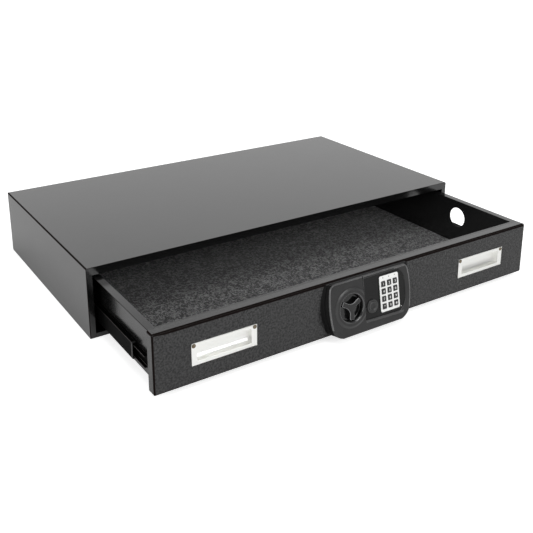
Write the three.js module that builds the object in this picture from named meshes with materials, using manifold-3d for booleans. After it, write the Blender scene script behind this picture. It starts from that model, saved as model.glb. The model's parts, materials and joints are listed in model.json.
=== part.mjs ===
// Under-bed safe: a wide, low steel cabinet with one full-width drawer on three-member ball slides.
// The drawer front carries two recessed pulls and a wedge-shaped electronic lock, whose knob drops
// two bolts behind the cabinet's bottom flange.
// Units are millimetres. X runs to the right, Y to the back and Z up. The origin is the middle of
// the cabinet's underside. Inside the groups, y is counted back from the cabinet's front plane, and
// the drawer's pieces are drawn for the closed drawer, whose group is then pulled forward.

import * as THREE from 'three';
import { mergeVertices } from 'three/addons/utils/BufferGeometryUtils.js';
import Module from 'manifold-3d';

// Driving dimensions

const cabinetWidth = 1016;
const cabinetDepth = 559;
const cabinetHeight = 160;
const cabinetSheet = 2;
const drawerSheet = 1.5;
const seam = 0.2; // between pieces that are welded, screwed or laid face to face
const runningGap = 0.3; // beside a piece that slides or turns
const past = 1; // how far a cutting shape runs past the face that it cuts
const curveSegments = 6; // along each curved corner of an outline

const sideFlange = 13;
const topFlange = 17;
const bottomFlange = 10;
const anchorHoleRadius = 4.5;
const anchorHoleInset = 128;

const frontSideGap = 1.2;
const frontFloorGap = 1.6;
const frontHeadGap = 6.9;
const frontDepth = 22;
const frontLip = 15;

const trayFloorLift = 6.9; // from the front's lower edge to the tray's underside
const trayFrontWall = 28; // from the drawer's face to the inside of the tray
const trayRearSpace = 22; // left behind the tray when it is closed
const trayFlange = 15;
const feltThickness = 2.5;
const feltMargin = 1;

const cableHoleRadius = 25.5;
const cableHoleBack = 200;
const cableHoleDrop = 44; // from the tray's top to the hole's middle

const slideThickness = 12.7;
const slideHeight = 45;
const slideCentre = 50;
const slideFront = 58;
const slideRearSpace = 51;
const memberSheet = 1.2;
const memberStep = 5; // each member's half height is this much less than the one round it
const memberGap = 1;
const outerArmSetback = 3.2; // the cabinet member's arms end this far short of the slide's thickness
const middleArmSetback = 2.2;
const middleShortfall = 15;
const drawerPastMiddle = 55; // how far the drawer stands out past the middle members
const bumperLength = 5;
const ballRadius = 1.6;
const ballsPerRow = 5;
const ballInset = 3.5; // from a cage's web to its rows of balls
const cageSheet = 0.5;
const cageArmSheet = 0.8;
const cageArm = 5; // how far a cage's arms reach past its web
const cageEndSpace = 5;
const bracketDepth = 16.5;
const bracketSheet = 1.5;
const bracketFoot = 9;
const bracketMargin = 1; // the bracket's crown stands this far over and under the slide

const handleWidth = 143;
const handleHeight = 46;
const handleSheet = 1.5;
const handleCorner = 3;
const handleInset = 149; // from the drawer front's end to the handle's middle
const handleLift = 61;
const scoopWidth = 119;
const scoopHeight = 31;
const scoopDepth = 14;
const scoopWall = 1.2;
const scoopHoleMargin = 1;
const scoopPull = 0.9; // how full the scoop's lower curve is, as a share of its depth
const screwRadius = 1.5;
const screwLength = 6;
const screwHeadRadius = 3.2;
const screwHeadHeight = 1.4;
const screwInset = 5;

const housingHalfWidth = 109;
const housingDraft = 10; // the housing's foot is this much wider on each side
const housingHeight = 119;
const housingProudTop = 11;
const housingProudBottom = 31;
const housingWall = 3;
const housingTopDraw = 6;
const housingBottomDraw = 11;
const housingTopCorner = 11;
const housingBottomCorner = 24;
const headSplay = 1; // the sides set out below the head's corners
const footTuck = 2; // and come in under the foot's
const lockLift = 0.65;
const coverThickness = 4;
const coverEdge = 3; // the face draws in by this much at its rounded edge
const coverEdgeStep = 0.8;
const coverEdgeDepth = 1.5;

const knobX = -54;
const knobUp = 0.8;
const recessRadius = 32;
const recessDepth = 10;
const recessWall = 2;
const bossRadius = 40.5;
const bossProud = 1.8;
const knobReach = 26;
const knobHubRadius = 9;
const knobHubProud = 0.5;
const spokeWidth = 9;
const spokeCorner = 4.4;
const spokeCount = 3;
const spokeInset = 0.5;
const spokeLift = 1.5; // clear of the back of the hub
const spindleRadius = 4;
const spindleHoleMargin = 2;
const camInset = 25.7; // from the cover's face to the cam disc
const camThickness = 4;
const camRadius = 17;
const camPinRadius = 3;
const camPinLength = 10;
const camThrow = 9;
const knobTurn = THREE.MathUtils.degToRad(60);
const notchWidth = 7;
const notchDepth = 6;

const boltPlateFront = 15.5; // behind the drawer's face
const boltPlateThickness = 4;
const boltPlateWidth = 64;
const boltPlateHeight = 66;
const boltPlateLift = 26; // the plate's top over the lock's middle
const boltWidth = 14;
const boltSpacing = 44;
const boltTipInset = 0.4;
const guideSheet = 1.5;
const guideHeight = 70;
const guideHead = 4; // the guide's top over the plate's
const guideWindowMargin = 5;
const pinSlotPlay = 0.4;

const solenoidWidth = 24;
const solenoidDepth = 9.6;
const solenoidHeight = 20;
const plungerRadius = 2.5;
const plungerReach = 15;
const plungerBore = 12;
const collarRadius = 4.5;
const collarHeight = 1.5;
const collarLift = 7;
const springWireRadius = 0.4;
const springGap = 0.4; // between the plunger and the wire
const springTurns = 5;
const springSides = 5;
const springStepsPerTurn = 8;
const tipGap = 0.6;

const keypadX = 48.7;
const keypadUp = 9;
const keypadWidth = 52;
const keypadHeight = 79;
const keypadThickness = 1.5;
const keypadProud = 0.8;
const keypadCorner = 4;
const keyColumns = 3;
const keyRows = 4;
const keyPitchX = 16.2;
const keyPitchUp = 16.4;
const keyWidth = 10.6;
const keyHeight = 11.8;
const keyProud = 1.2;
const keyTravel = 0.8;
const keyFlangeSide = 1.2;
const keyFlangeEnd = 0.8;
const keyFlangeThickness = 0.8;
const keypadFootMargin = 6.3;
const matThickness = 1.2;
const boardThickness = 1.6;
const boardWidth = 58;
const boardHeight = 76;
const boardDrop = 2; // the board's middle under the keypad's

const keyholeX = 1;
const keyholeUp = -10;
const capRadius = 10.8;
const capCrown = 0.6;
const capEdge = 0.8;
const capRingRadius = 14.5;
const capRingProud = 0.8;
const capThickness = 4;
const plugRadius = 6;
const plugTailWidth = 5;
const plugTailThickness = 2;
const plugTail = 14;
const plugTailTop = 4;
const keySlotWidth = 1.4;
const keySlotHeight = 8;
const keySlotDepth = 8;
const cylinderRadius = 9;
const cylinderLength = 23;
const cylinderHoleMargin = 1;

const batteryX = 150;
const batteryLift = 62;
const batteryWidth = 48.5;
const batteryHeight = 26.5;
const batteryDepth = 17.5;
const batteryPlay = 1;
const batteryRecess = 3; // from the cup's rim to the battery
const holderWall = 1.5;
const doorOverlap = 7;
const doorThickness = 2;
const doorTravel = 62;
const doorGripWidth = 3;
const doorGripHeight = 16;
const doorGripProud = 1.5;
const doorGripInset = 4;
const trackLip = 4;
const trackCover = 2; // the track's rails reach this far over the door's edges
const trackSheet = 1.2;

const leadRadius = 1.5;
const leadSides = 8;
const leadSteps = 24;
const leadHoleRadius = 6;
const leadHoleX = 66;
const leadHoleDrop = 34; // under the lock's middle

// Sizes that follow from the driving dimensions

const cabinetHalf = cabinetWidth / 2;
const cabinetInnerHalf = cabinetHalf - cabinetSheet;
const frontHalf = cabinetHalf - sideFlange - frontSideGap;
const frontBottom = bottomFlange + frontFloorGap;
const frontTop = cabinetHeight - topFlange - frontHeadGap;
const slideOuterHalf = cabinetInnerHalf - bracketDepth - 2 * seam;
const trayHalf = slideOuterHalf - slideThickness - seam;
const trayInnerHalf = trayHalf - drawerSheet;
const trayBottom = frontBottom + trayFloorLift;
const trayFloor = trayBottom + drawerSheet;
const trayInnerBack = cabinetDepth - trayRearSpace - drawerSheet;
const trayFront = frontDepth + seam;
const cableHoleHeight = frontTop - cableHoleDrop;
const slideLength = cabinetDepth - slideFront - slideRearSpace;
const middleLength = slideLength - middleShortfall;
const middleOpen = slideLength / 2;
const drawerOpen = middleOpen + drawerPastMiddle;
const cageLength = middleLength - middleOpen - 2 * cageEndSpace;
const cageFront = slideFront + middleOpen / 2 + cageEndSpace;
const handleX = frontHalf - handleInset;
const handleZ = frontBottom + handleLift;
const lockTilt = Math.atan((housingProudBottom - housingProudTop) / housingHeight);
const lockProud = (housingProudBottom + housingProudTop) / 2;
const lockZ = (frontBottom + frontTop) / 2 + lockLift;
const coverHalfHeight = housingHeight / 2 / Math.cos(lockTilt);
const leadHoleZ = lockZ - leadHoleDrop;
const capPocketFloor = capThickness - capRingProud - seam;

// Solids and booleans

const wasm = await Module();
wasm.setup();

function toSolid(geometry) {
  const bare = geometry.clone();
  bare.deleteAttribute('normal');
  bare.deleteAttribute('uv');
  const merged = mergeVertices(bare, 1e-4);
  const vertProperties = Float32Array.from(merged.attributes.position.array);
  const triVerts = Uint32Array.from(merged.index.array);
  return new wasm.Manifold(new wasm.Mesh({ numProp: 3, vertProperties, triVerts }));
}

function toGeometry(solid) {
  const mesh = solid.getMesh();
  const geometry = new THREE.BufferGeometry();
  geometry.setAttribute('position', new THREE.BufferAttribute(mesh.vertProperties, 3));
  geometry.setIndex(new THREE.BufferAttribute(mesh.triVerts, 1));
  geometry.computeVertexNormals();
  return geometry;
}

function join(...geometries) {
  return toGeometry(geometries.map(toSolid).reduce((whole, piece) => whole.add(piece)));
}

function cut(geometry, ...tools) {
  return toGeometry(tools.map(toSolid).reduce((whole, tool) => whole.subtract(tool), toSolid(geometry)));
}

function block(x0, x1, y0, y1, z0, z1) {
  const geometry = new THREE.BoxGeometry(Math.abs(x1 - x0), y1 - y0, z1 - z0);
  return geometry.translate((x0 + x1) / 2, (y0 + y1) / 2, (z0 + z1) / 2);
}

// A round bar along Y; sides is how many flats stand for the circle
function barY(radius, x, z, y0, y1, sides = 24) {
  return new THREE.CylinderGeometry(radius, radius, y1 - y0, sides).translate(x, (y0 + y1) / 2, z);
}

function barX(radius, y, z, x0, x1, sides = 24) {
  const bar = new THREE.CylinderGeometry(radius, radius, x1 - x0, sides).rotateZ(Math.PI / 2);
  return bar.translate((x0 + x1) / 2, y, z);
}

function barZ(radius, x, y, z0, z1, sides = 16) {
  const bar = new THREE.CylinderGeometry(radius, radius, z1 - z0, sides).rotateX(Math.PI / 2);
  return bar.translate(x, y, (z0 + z1) / 2);
}

// An outline in x and z, drawn back from y0 to y1
function alongY(shape, y0, y1) {
  const geometry = new THREE.ExtrudeGeometry(shape, { depth: y1 - y0, bevelEnabled: false, curveSegments });
  return geometry.rotateX(Math.PI / 2).translate(0, y1, 0);
}

// An outline in y and z, drawn across from x0 to x1
function alongX(shape, x0, x1) {
  const geometry = new THREE.ExtrudeGeometry(shape, { depth: x1 - x0, bevelEnabled: false, curveSegments });
  const turn = new THREE.Matrix4().set(0, 0, 1, x0, 1, 0, 0, 0, 0, 1, 0, 0, 0, 0, 0, 1);
  return geometry.applyMatrix4(turn);
}

function outline(points) {
  return new THREE.Shape(points.map(([across, up]) => new THREE.Vector2(across, up)));
}

function roundedRectangle(x, z, width, height, radius) {
  const left = x - width / 2;
  const right = x + width / 2;
  const low = z - height / 2;
  const high = z + height / 2;
  const shape = new THREE.Shape();
  shape.absarc(right - radius, high - radius, radius, 0, Math.PI / 2);
  shape.absarc(left + radius, high - radius, radius, Math.PI / 2, Math.PI);
  shape.absarc(left + radius, low + radius, radius, Math.PI, 1.5 * Math.PI);
  shape.absarc(right - radius, low + radius, radius, 1.5 * Math.PI, 2 * Math.PI);
  return shape;
}

// The round section of a wire or a lead, with few sides
function roundSection(radius, sides) {
  return new THREE.Shape(
    Array.from({ length: sides }, (_, i) => {
      const angle = (2 * Math.PI * i) / sides;
      return new THREE.Vector2(radius * Math.cos(angle), radius * Math.sin(angle));
    }),
  );
}

// Closed skin over rings of equal count, listed front to back, each anticlockwise seen from the front
function loft(rings) {
  const count = rings[0].length;
  const last = (rings.length - 1) * count;
  const flat = rings[0].map((point) => new THREE.Vector2(point.x, point.z));
  const index = [];
  for (const [a, b, c] of THREE.ShapeUtils.triangulateShape(flat, [])) {
    index.push(a, b, c, last + a, last + c, last + b);
  }
  for (let ring = 0; ring < rings.length - 1; ring += 1) {
    for (let j = 0; j < count; j += 1) {
      const front = ring * count + j;
      const frontNext = ring * count + ((j + 1) % count);
      index.push(front, front + count, frontNext, frontNext, front + count, frontNext + count);
    }
  }
  const geometry = new THREE.BufferGeometry();
  const places = rings.flat().flatMap((point) => [point.x, point.y, point.z]);
  geometry.setAttribute('position', new THREE.Float32BufferAttribute(places, 3));
  geometry.setIndex(index);
  geometry.computeVertexNormals();
  return geometry;
}

// Materials

function material(color, roughness, metalness) {
  return new THREE.MeshStandardMaterial({ color, roughness, metalness });
}

const finishes = {
  cabinetPaint: material(0x3a3a3b, 0.55, 0.2),
  drawerPaint: material(0x303031, 0.6, 0.2),
  slideBlack: material(0x1c1c1e, 0.4, 0.6),
  zinc: material(0xa9abad, 0.35, 0.9),
  ballSteel: material(0xc4c6c8, 0.2, 1),
  felt: material(0x2c2d2f, 0.95, 0),
  chrome: material(0xd8dadb, 0.15, 1),
  screwSteel: material(0x8a7d6c, 0.35, 0.9),
  housingPlastic: material(0x2e2e2f, 0.45, 0),
  glossBlack: material(0x111112, 0.2, 0),
  whitePlastic: material(0xeeeeec, 0.4, 0),
  keyPlastic: material(0x202021, 0.45, 0),
  rubber: material(0x2a2b2d, 0.8, 0),
  boardGreen: material(0x1d5a34, 0.5, 0),
  batteryShell: material(0x55585c, 0.4, 0.3),
  leadRed: material(0x8d1f1f, 0.5, 0),
};

// Groups: the cabinet stands still, the others are pulled forward from their closed places

const safe = new THREE.Group();
const cabinet = new THREE.Group();
cabinet.position.y = -cabinetDepth / 2;
safe.add(cabinet);

function pulledOut(distance) {
  const group = new THREE.Group();
  group.position.y = -distance;
  cabinet.add(group);
  return group;
}

const outerCages = pulledOut(middleOpen / 2);
const middles = pulledOut(middleOpen);
const innerCages = pulledOut((middleOpen + drawerOpen) / 2);
const drawer = pulledOut(drawerOpen);

// The lock's own frame: x across, z up its sloping face, y inwards from the face
const lock = new THREE.Group();
lock.position.set(0, -lockProud, lockZ);
lock.rotation.x = -lockTilt;
lock.updateMatrix();
drawer.add(lock);

function add(group, name, geometry, finish) {
  const mesh = new THREE.Mesh(geometry, finish);
  mesh.name = name;
  group.add(mesh);
  return mesh;
}

function fromLock(geometry) {
  return geometry.applyMatrix4(lock.matrix);
}

function pointFromLock(x, y, z) {
  return new THREE.Vector3(x, y, z).applyMatrix4(lock.matrix);
}

// Cabinet: top, sides and front flanges are one wrap; floor and back are welded into it

function makeCabinet() {
  const wrap = cut(
    block(-cabinetHalf, cabinetHalf, 0, cabinetDepth, 0, cabinetHeight),
    block(
      -cabinetInnerHalf,
      cabinetInnerHalf,
      cabinetSheet,
      cabinetDepth + past,
      -past,
      cabinetHeight - cabinetSheet,
    ),
    block(
      sideFlange - cabinetHalf,
      cabinetHalf - sideFlange,
      -past,
      cabinetSheet + past,
      -past,
      cabinetHeight - topFlange,
    ),
    barX(cableHoleRadius, cableHoleBack, cableHoleHeight, cabinetInnerHalf - past, cabinetHalf + past),
  );
  add(cabinet, 'cabinet_shell', wrap, finishes.cabinetPaint);

  const floorHalf = cabinetInnerHalf - seam;
  const lipHalf = cabinetHalf - sideFlange - seam;
  const floorPlate = join(
    block(-floorHalf, floorHalf, cabinetSheet + seam, cabinetDepth, 0, cabinetSheet),
    block(-lipHalf, lipHalf, 0, 2 * cabinetSheet, 0, cabinetSheet),
    block(-lipHalf, lipHalf, 0, cabinetSheet, 0, bottomFlange),
  );
  const holes = [];
  for (const x of [anchorHoleInset - cabinetHalf, cabinetHalf - anchorHoleInset]) {
    for (const y of [anchorHoleInset, cabinetDepth - anchorHoleInset]) {
      holes.push(barZ(anchorHoleRadius, x, y, -past, cabinetSheet + past));
    }
  }
  add(cabinet, 'cabinet_floor', cut(floorPlate, ...holes), finishes.cabinetPaint);

  const backFront = cabinetDepth - cabinetSheet;
  const backTop = cabinetHeight - cabinetSheet - seam;
  const backPlate = block(-floorHalf, floorHalf, backFront, cabinetDepth, cabinetSheet + seam, backTop);
  add(cabinet, 'cabinet_back', backPlate, finishes.cabinetPaint);
}

// Slides: for side -1 (left) or 1 (right), depth is counted from the cabinet side towards the drawer

function channel(side, webDepth, reach, halfHeight, sheet) {
  const x = (depth) => side * (slideOuterHalf - depth);
  return outline([
    [x(webDepth), slideCentre - halfHeight],
    [x(reach), slideCentre - halfHeight],
    [x(reach), slideCentre - halfHeight + sheet],
    [x(webDepth + sheet), slideCentre - halfHeight + sheet],
    [x(webDepth + sheet), slideCentre + halfHeight - sheet],
    [x(reach), slideCentre + halfHeight - sheet],
    [x(reach), slideCentre + halfHeight],
    [x(webDepth), slideCentre + halfHeight],
  ]);
}

// A drawer member faces the other way: its web lies against the drawer
function facingChannel(side, halfHeight) {
  const x = (depth) => side * (slideOuterHalf - depth);
  const tip = 2 * (memberSheet + memberGap);
  const web = slideThickness;
  return outline([
    [x(tip), slideCentre - halfHeight],
    [x(web), slideCentre - halfHeight],
    [x(web), slideCentre + halfHeight],
    [x(tip), slideCentre + halfHeight],
    [x(tip), slideCentre + halfHeight - memberSheet],
    [x(web - memberSheet), slideCentre + halfHeight - memberSheet],
    [x(web - memberSheet), slideCentre - halfHeight + memberSheet],
    [x(tip), slideCentre - halfHeight + memberSheet],
  ]);
}

// A strip bent round the member inside it, with a row of balls along each arm
function ballCage(side, webDepth, armHeight) {
  const x = (depth) => side * (slideOuterHalf - depth);
  const armTip = webDepth + cageSheet + cageArm;
  const halfHeight = armHeight + cageArmSheet / 2;
  const strip = cut(
    alongY(channel(side, webDepth, armTip, halfHeight, cageArmSheet), cageFront, cageFront + cageLength),
    block(
      x(webDepth + cageSheet),
      x(webDepth + cageArmSheet + past),
      cageFront - past,
      cageFront + cageLength + past,
      slideCentre - armHeight + cageArmSheet / 2,
      slideCentre + armHeight - cageArmSheet / 2,
    ),
  );
  const balls = [];
  const pitch = cageLength / ballsPerRow;
  for (const up of [-armHeight, armHeight]) {
    for (let i = 0; i < ballsPerRow; i += 1) {
      const ball = new THREE.SphereGeometry(ballRadius, 6, 4);
      balls.push(ball.translate(x(webDepth + ballInset), cageFront + pitch * (i + 0.5), slideCentre + up));
    }
  }
  return join(strip, ...balls);
}

function makeSlides() {
  const cabinetHalfHeight = slideHeight / 2;
  const middleHalfHeight = cabinetHalfHeight - memberStep;
  const drawerHalfHeight = middleHalfHeight - memberStep;
  const middleWeb = memberSheet + memberGap;
  const slideBack = slideFront + slideLength;
  const cageSideGap = (memberGap - cageSheet) / 2;
  const raceOffset = (memberStep - memberSheet) / 2;
  for (const [side, word] of [[-1, 'left'], [1, 'right']]) {
    const outer = channel(side, 0, slideThickness - outerArmSetback, cabinetHalfHeight, memberSheet);
    add(cabinet, `cabinet_slide_member_${word}`, alongY(outer, slideFront, slideBack), finishes.slideBlack);

    const middle = channel(side, middleWeb, slideThickness - middleArmSetback, middleHalfHeight, memberSheet);
    const middleBack = slideFront + middleLength;
    add(middles, `middle_slide_member_${word}`, alongY(middle, slideFront, middleBack), finishes.slideBlack);
    const bumperFront = slideFront - seam - bumperLength;
    add(middles, `slide_bumper_${word}`, alongY(middle, bumperFront, slideFront - seam), finishes.rubber);

    const inner = facingChannel(side, drawerHalfHeight);
    add(drawer, `drawer_slide_member_${word}`, alongY(inner, slideFront, slideBack), finishes.slideBlack);

    const outerCage = ballCage(side, memberSheet + cageSideGap, middleHalfHeight + raceOffset);
    add(outerCages, `outer_ball_cage_${word}`, outerCage, finishes.ballSteel);
    const innerCage = ballCage(side, middleWeb + memberSheet + cageSideGap, drawerHalfHeight + raceOffset);
    add(innerCages, `inner_ball_cage_${word}`, innerCage, finishes.ballSteel);
    makeBracket(side, word, slideBack);
  }
}

// Hat-section spacer that carries a cabinet member clear of the front flange
function makeBracket(side, word, slideBack) {
  const crownHalf = slideHeight / 2 + bracketMargin;
  const footHalf = crownHalf + bracketFoot;
  const wall = side * (cabinetInnerHalf - seam);
  const crown = side * (slideOuterHalf + seam);
  const footFace = wall - side * bracketSheet;
  const crownBack = crown + side * bracketSheet;
  const hat = outline([
    [wall, slideCentre - footHalf],
    [footFace, slideCentre - footHalf],
    [footFace, slideCentre - crownHalf],
    [crown, slideCentre - crownHalf],
    [crown, slideCentre + crownHalf],
    [footFace, slideCentre + crownHalf],
    [footFace, slideCentre + footHalf],
    [wall, slideCentre + footHalf],
    [wall, slideCentre + crownHalf - bracketSheet],
    [crownBack, slideCentre + crownHalf - bracketSheet],
    [crownBack, slideCentre - crownHalf + bracketSheet],
    [wall, slideCentre - crownHalf + bracketSheet],
  ]);
  let bracket = alongY(hat, slideFront, slideBack);
  if (side > 0) {
    const cableWay = barX(cableHoleRadius, cableHoleBack, cableHoleHeight, footFace - past, wall + past);
    bracket = cut(bracket, cableWay);
  }
  add(cabinet, `slide_bracket_${word}`, bracket, finishes.cabinetPaint);
}

// Drawer tray: floor, walls, flanges turned out over the slides, and a front wall behind the pan

function makeTray() {
  const backOuter = trayInnerBack + drawerSheet;
  const flangeHalf = trayHalf + trayFlange;
  const flangeBottom = frontTop - drawerSheet;
  const frontWallOuter = trayFrontWall - drawerSheet;
  const tray = cut(
    join(
      block(-trayHalf, trayHalf, trayFront, backOuter, trayBottom, frontTop),
      block(-flangeHalf, flangeHalf, trayFront, backOuter, flangeBottom, frontTop),
    ),
    block(-trayInnerHalf, trayInnerHalf, trayFrontWall, trayInnerBack, trayFloor, frontTop + past),
    block(-trayInnerHalf, trayInnerHalf, trayFront - past, frontWallOuter, trayFloor, flangeBottom),
    barX(cableHoleRadius, cableHoleBack, cableHoleHeight, trayInnerHalf - past, trayHalf + past),
    batteryOpening(frontWallOuter - past, trayFrontWall + past, 0),
  );
  add(drawer, 'drawer_tray', tray, finishes.drawerPaint);

  const feltHalf = trayInnerHalf - feltMargin;
  const feltBottom = trayFloor + seam;
  const felt = block(
    -feltHalf,
    feltHalf,
    trayFrontWall + feltMargin,
    trayInnerBack - feltMargin,
    feltBottom,
    feltBottom + feltThickness,
  );
  add(drawer, 'felt_liner', felt, finishes.felt);
}

// Drawer front: a folded pan, open at the back

function makeFront() {
  const inner = frontHalf - drawerSheet;
  const lipInner = frontHalf - frontLip;
  const insideBottom = frontBottom + drawerSheet;
  const insideTop = frontTop - drawerSheet;
  const pan = cut(
    block(-frontHalf, frontHalf, 0, frontDepth, frontBottom, frontTop),
    block(-inner, inner, drawerSheet, frontDepth - drawerSheet, insideBottom, insideTop),
    block(-lipInner, lipInner, drawerSheet, frontDepth + past, insideBottom, insideTop),
  );
  const cylinderBack = coverThickness + seam + cylinderLength;
  const holes = [
    fromLock(barY(spindleRadius + spindleHoleMargin, knobX, knobUp, 0, camInset)),
    fromLock(barY(cylinderRadius + cylinderHoleMargin, keyholeX, keyholeUp, 0, cylinderBack)),
    barY(leadHoleRadius, leadHoleX, leadHoleZ, -past, drawerSheet + past),
  ];
  const slotFront = boltPlateFront - 2 * runningGap;
  const slotBack = boltPlateFront + boltPlateThickness + 2 * runningGap;
  const slotTop = insideBottom + past;
  for (const side of [-1, 1]) {
    const middle = side * handleX;
    const halfWide = scoopWidth / 2 + scoopHoleMargin;
    const halfHigh = scoopHeight / 2 + scoopHoleMargin;
    const low = handleZ - halfHigh;
    const high = handleZ + halfHigh;
    holes.push(block(middle - halfWide, middle + halfWide, -past, drawerSheet + past, low, high));
    for (const place of screwPlaces(side)) {
      holes.push(barY(screwRadius + runningGap, place.x, place.z, -past, drawerSheet + past, 10));
    }
    const boltX = knobX + side * boltSpacing / 2;
    const halfBolt = boltWidth / 2 + 2 * runningGap;
    holes.push(block(boltX - halfBolt, boltX + halfBolt, slotFront, slotBack, frontBottom - past, slotTop));
  }
  add(drawer, 'drawer_front', cut(pan, ...holes), finishes.drawerPaint);
}

// Recessed pulls

function screwPlaces(side) {
  const reach = handleWidth / 2 - screwInset;
  const up = handleZ + handleHeight / 2 - screwInset;
  return [-reach, reach].map((offset) => ({ x: side * handleX + offset, z: up }));
}

// The scoop's section: a curved floor that rises to an upright back
function scoopSection(z, halfHeight, depth, mouth) {
  const shape = new THREE.Shape();
  shape.moveTo(mouth, z + halfHeight);
  shape.lineTo(mouth, z - halfHeight);
  shape.quadraticCurveTo(scoopPull * depth, z - halfHeight, depth, z);
  shape.lineTo(depth, z + halfHeight);
  return shape;
}

function makeHandles() {
  const plateFront = -handleSheet - seam;
  const halfScoop = scoopWidth / 2;
  const innerHalfHeight = scoopHeight / 2 - scoopWall;
  const innerDepth = scoopDepth - scoopWall;
  for (const [side, word] of [[-1, 'left'], [1, 'right']]) {
    const middle = side * handleX;
    const face = roundedRectangle(middle, handleZ, handleWidth, handleHeight, handleCorner);
    const plate = alongY(face, plateFront, -seam);
    const cup = scoopSection(handleZ, scoopHeight / 2, scoopDepth, -2 * seam);
    const hollow = scoopSection(handleZ, innerHalfHeight, innerDepth, plateFront - past);
    const holes = screwPlaces(side).map(({ x, z }) =>
      barY(screwRadius + runningGap, x, z, plateFront - past, past, 10),
    );
    const handle = cut(
      join(plate, alongX(cup, middle - halfScoop, middle + halfScoop)),
      alongX(hollow, middle - halfScoop + scoopWall, middle + halfScoop - scoopWall),
      ...holes,
    );
    add(drawer, `handle_${word}`, handle, finishes.chrome);
    const headBack = plateFront - seam;
    screwPlaces(side).forEach(({ x, z }, i) => {
      const screw = join(
        barY(screwHeadRadius, x, z, headBack - screwHeadHeight, headBack, 12),
        barY(screwRadius, x, z, headBack - screwHeadHeight / 2, screwLength, 8),
      );
      add(drawer, `handle_screw_${word}_${i + 1}`, screw, finishes.screwSteel);
    });
  }
}

// Lock housing: the sides bow out, and draw in more towards the foot than towards the head

function housingOutline(halfWidth, halfHeight) {
  const head = halfWidth - housingTopDraw;
  const foot = halfWidth - housingBottomDraw;
  const bow = 2 * halfWidth - (head + foot) / 2;
  const headLine = halfHeight - housingTopCorner;
  const footLine = housingBottomCorner - halfHeight;
  const shape = new THREE.Shape();
  shape.moveTo(housingTopCorner - head, halfHeight);
  shape.quadraticCurveTo(-head, halfHeight, -head - headSplay, headLine);
  shape.quadraticCurveTo(-bow, (headLine + footLine) / 2, -foot, footLine);
  shape.quadraticCurveTo(footTuck - foot, -halfHeight, housingBottomCorner - foot, -halfHeight);
  shape.lineTo(foot - housingBottomCorner, -halfHeight);
  shape.quadraticCurveTo(foot - footTuck, -halfHeight, foot, footLine);
  shape.quadraticCurveTo(bow, (headLine + footLine) / 2, head + headSplay, headLine);
  shape.quadraticCurveTo(head, halfHeight, head - housingTopCorner, halfHeight);
  return shape.getPoints(curveSegments);
}

function lockRing(halfWidth, halfHeight, y) {
  return housingOutline(halfWidth, halfHeight).map((point) => new THREE.Vector3(point.x, y, point.y));
}

function makeHousing() {
  const wedge = (inset, frontPast, backPast) => {
    const headY = coverThickness + seam - frontPast;
    const frontRing = lockRing(housingHalfWidth - inset, coverHalfHeight - inset, headY);
    const footHalfHeight = housingHeight / 2 - inset;
    const backRing = lockRing(housingHalfWidth + housingDraft - inset, footHalfHeight, backPast - seam);
    const placed = frontRing.map((point) => point.applyMatrix4(lock.matrix));
    return loft([placed, backRing.map((point) => point.add(new THREE.Vector3(0, 0, lockZ)))]);
  };
  const base = cut(wedge(0, 0, 0), wedge(housingWall, 2 * past, 2 * past));
  add(drawer, 'lock_base', base, finishes.housingPlastic);

  const shellPlate = loft(
    [[coverEdge, 0], [coverEdgeStep, coverEdgeDepth], [0, coverThickness]].map(([inset, y]) =>
      lockRing(housingHalfWidth - inset, coverHalfHeight - inset, y),
    ),
  );
  const windowHalfWide = keyWindowWidth / 2;
  const windowHalfHigh = keyWindowHeight / 2;
  const pocketHalfWide = keypadWidth / 2 + 2 * seam;
  const pocketHalfHigh = keypadHeight / 2 + 2 * seam;
  const pocketFloor = keypadThickness - keypadProud + seam;
  const cover = cut(
    join(
      shellPlate,
      barY(bossRadius, knobX, knobUp, -bossProud, past, 32),
      barY(recessRadius + recessWall, knobX, knobUp, past, recessDepth + recessWall, 32),
      barY(capRingRadius, keyholeX, keyholeUp, -capRingProud, past),
    ),
    barY(recessRadius, knobX, knobUp, -bossProud - past, recessDepth, 32),
    barY(spindleRadius + runningGap, knobX, knobUp, 0, 2 * recessDepth, 16),
    barY(capRadius + runningGap, keyholeX, keyholeUp, -capRingProud - past, capPocketFloor),
    barY(plugRadius + 2 * runningGap, keyholeX, keyholeUp, 0, 2 * coverThickness, 20),
    block(
      keypadX - pocketHalfWide,
      keypadX + pocketHalfWide,
      -past,
      pocketFloor,
      keypadUp - pocketHalfHigh,
      keypadUp + pocketHalfHigh,
    ),
    block(
      keypadX - windowHalfWide,
      keypadX + windowHalfWide,
      0,
      2 * coverThickness,
      keyFieldUp - windowHalfHigh,
      keyFieldUp + windowHalfHigh,
    ),
  );
  add(lock, 'lock_cover', cover, finishes.housingPlastic);
}

// Knob, spindle and cam disc turn as one; the knob rests with one spoke down

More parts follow.
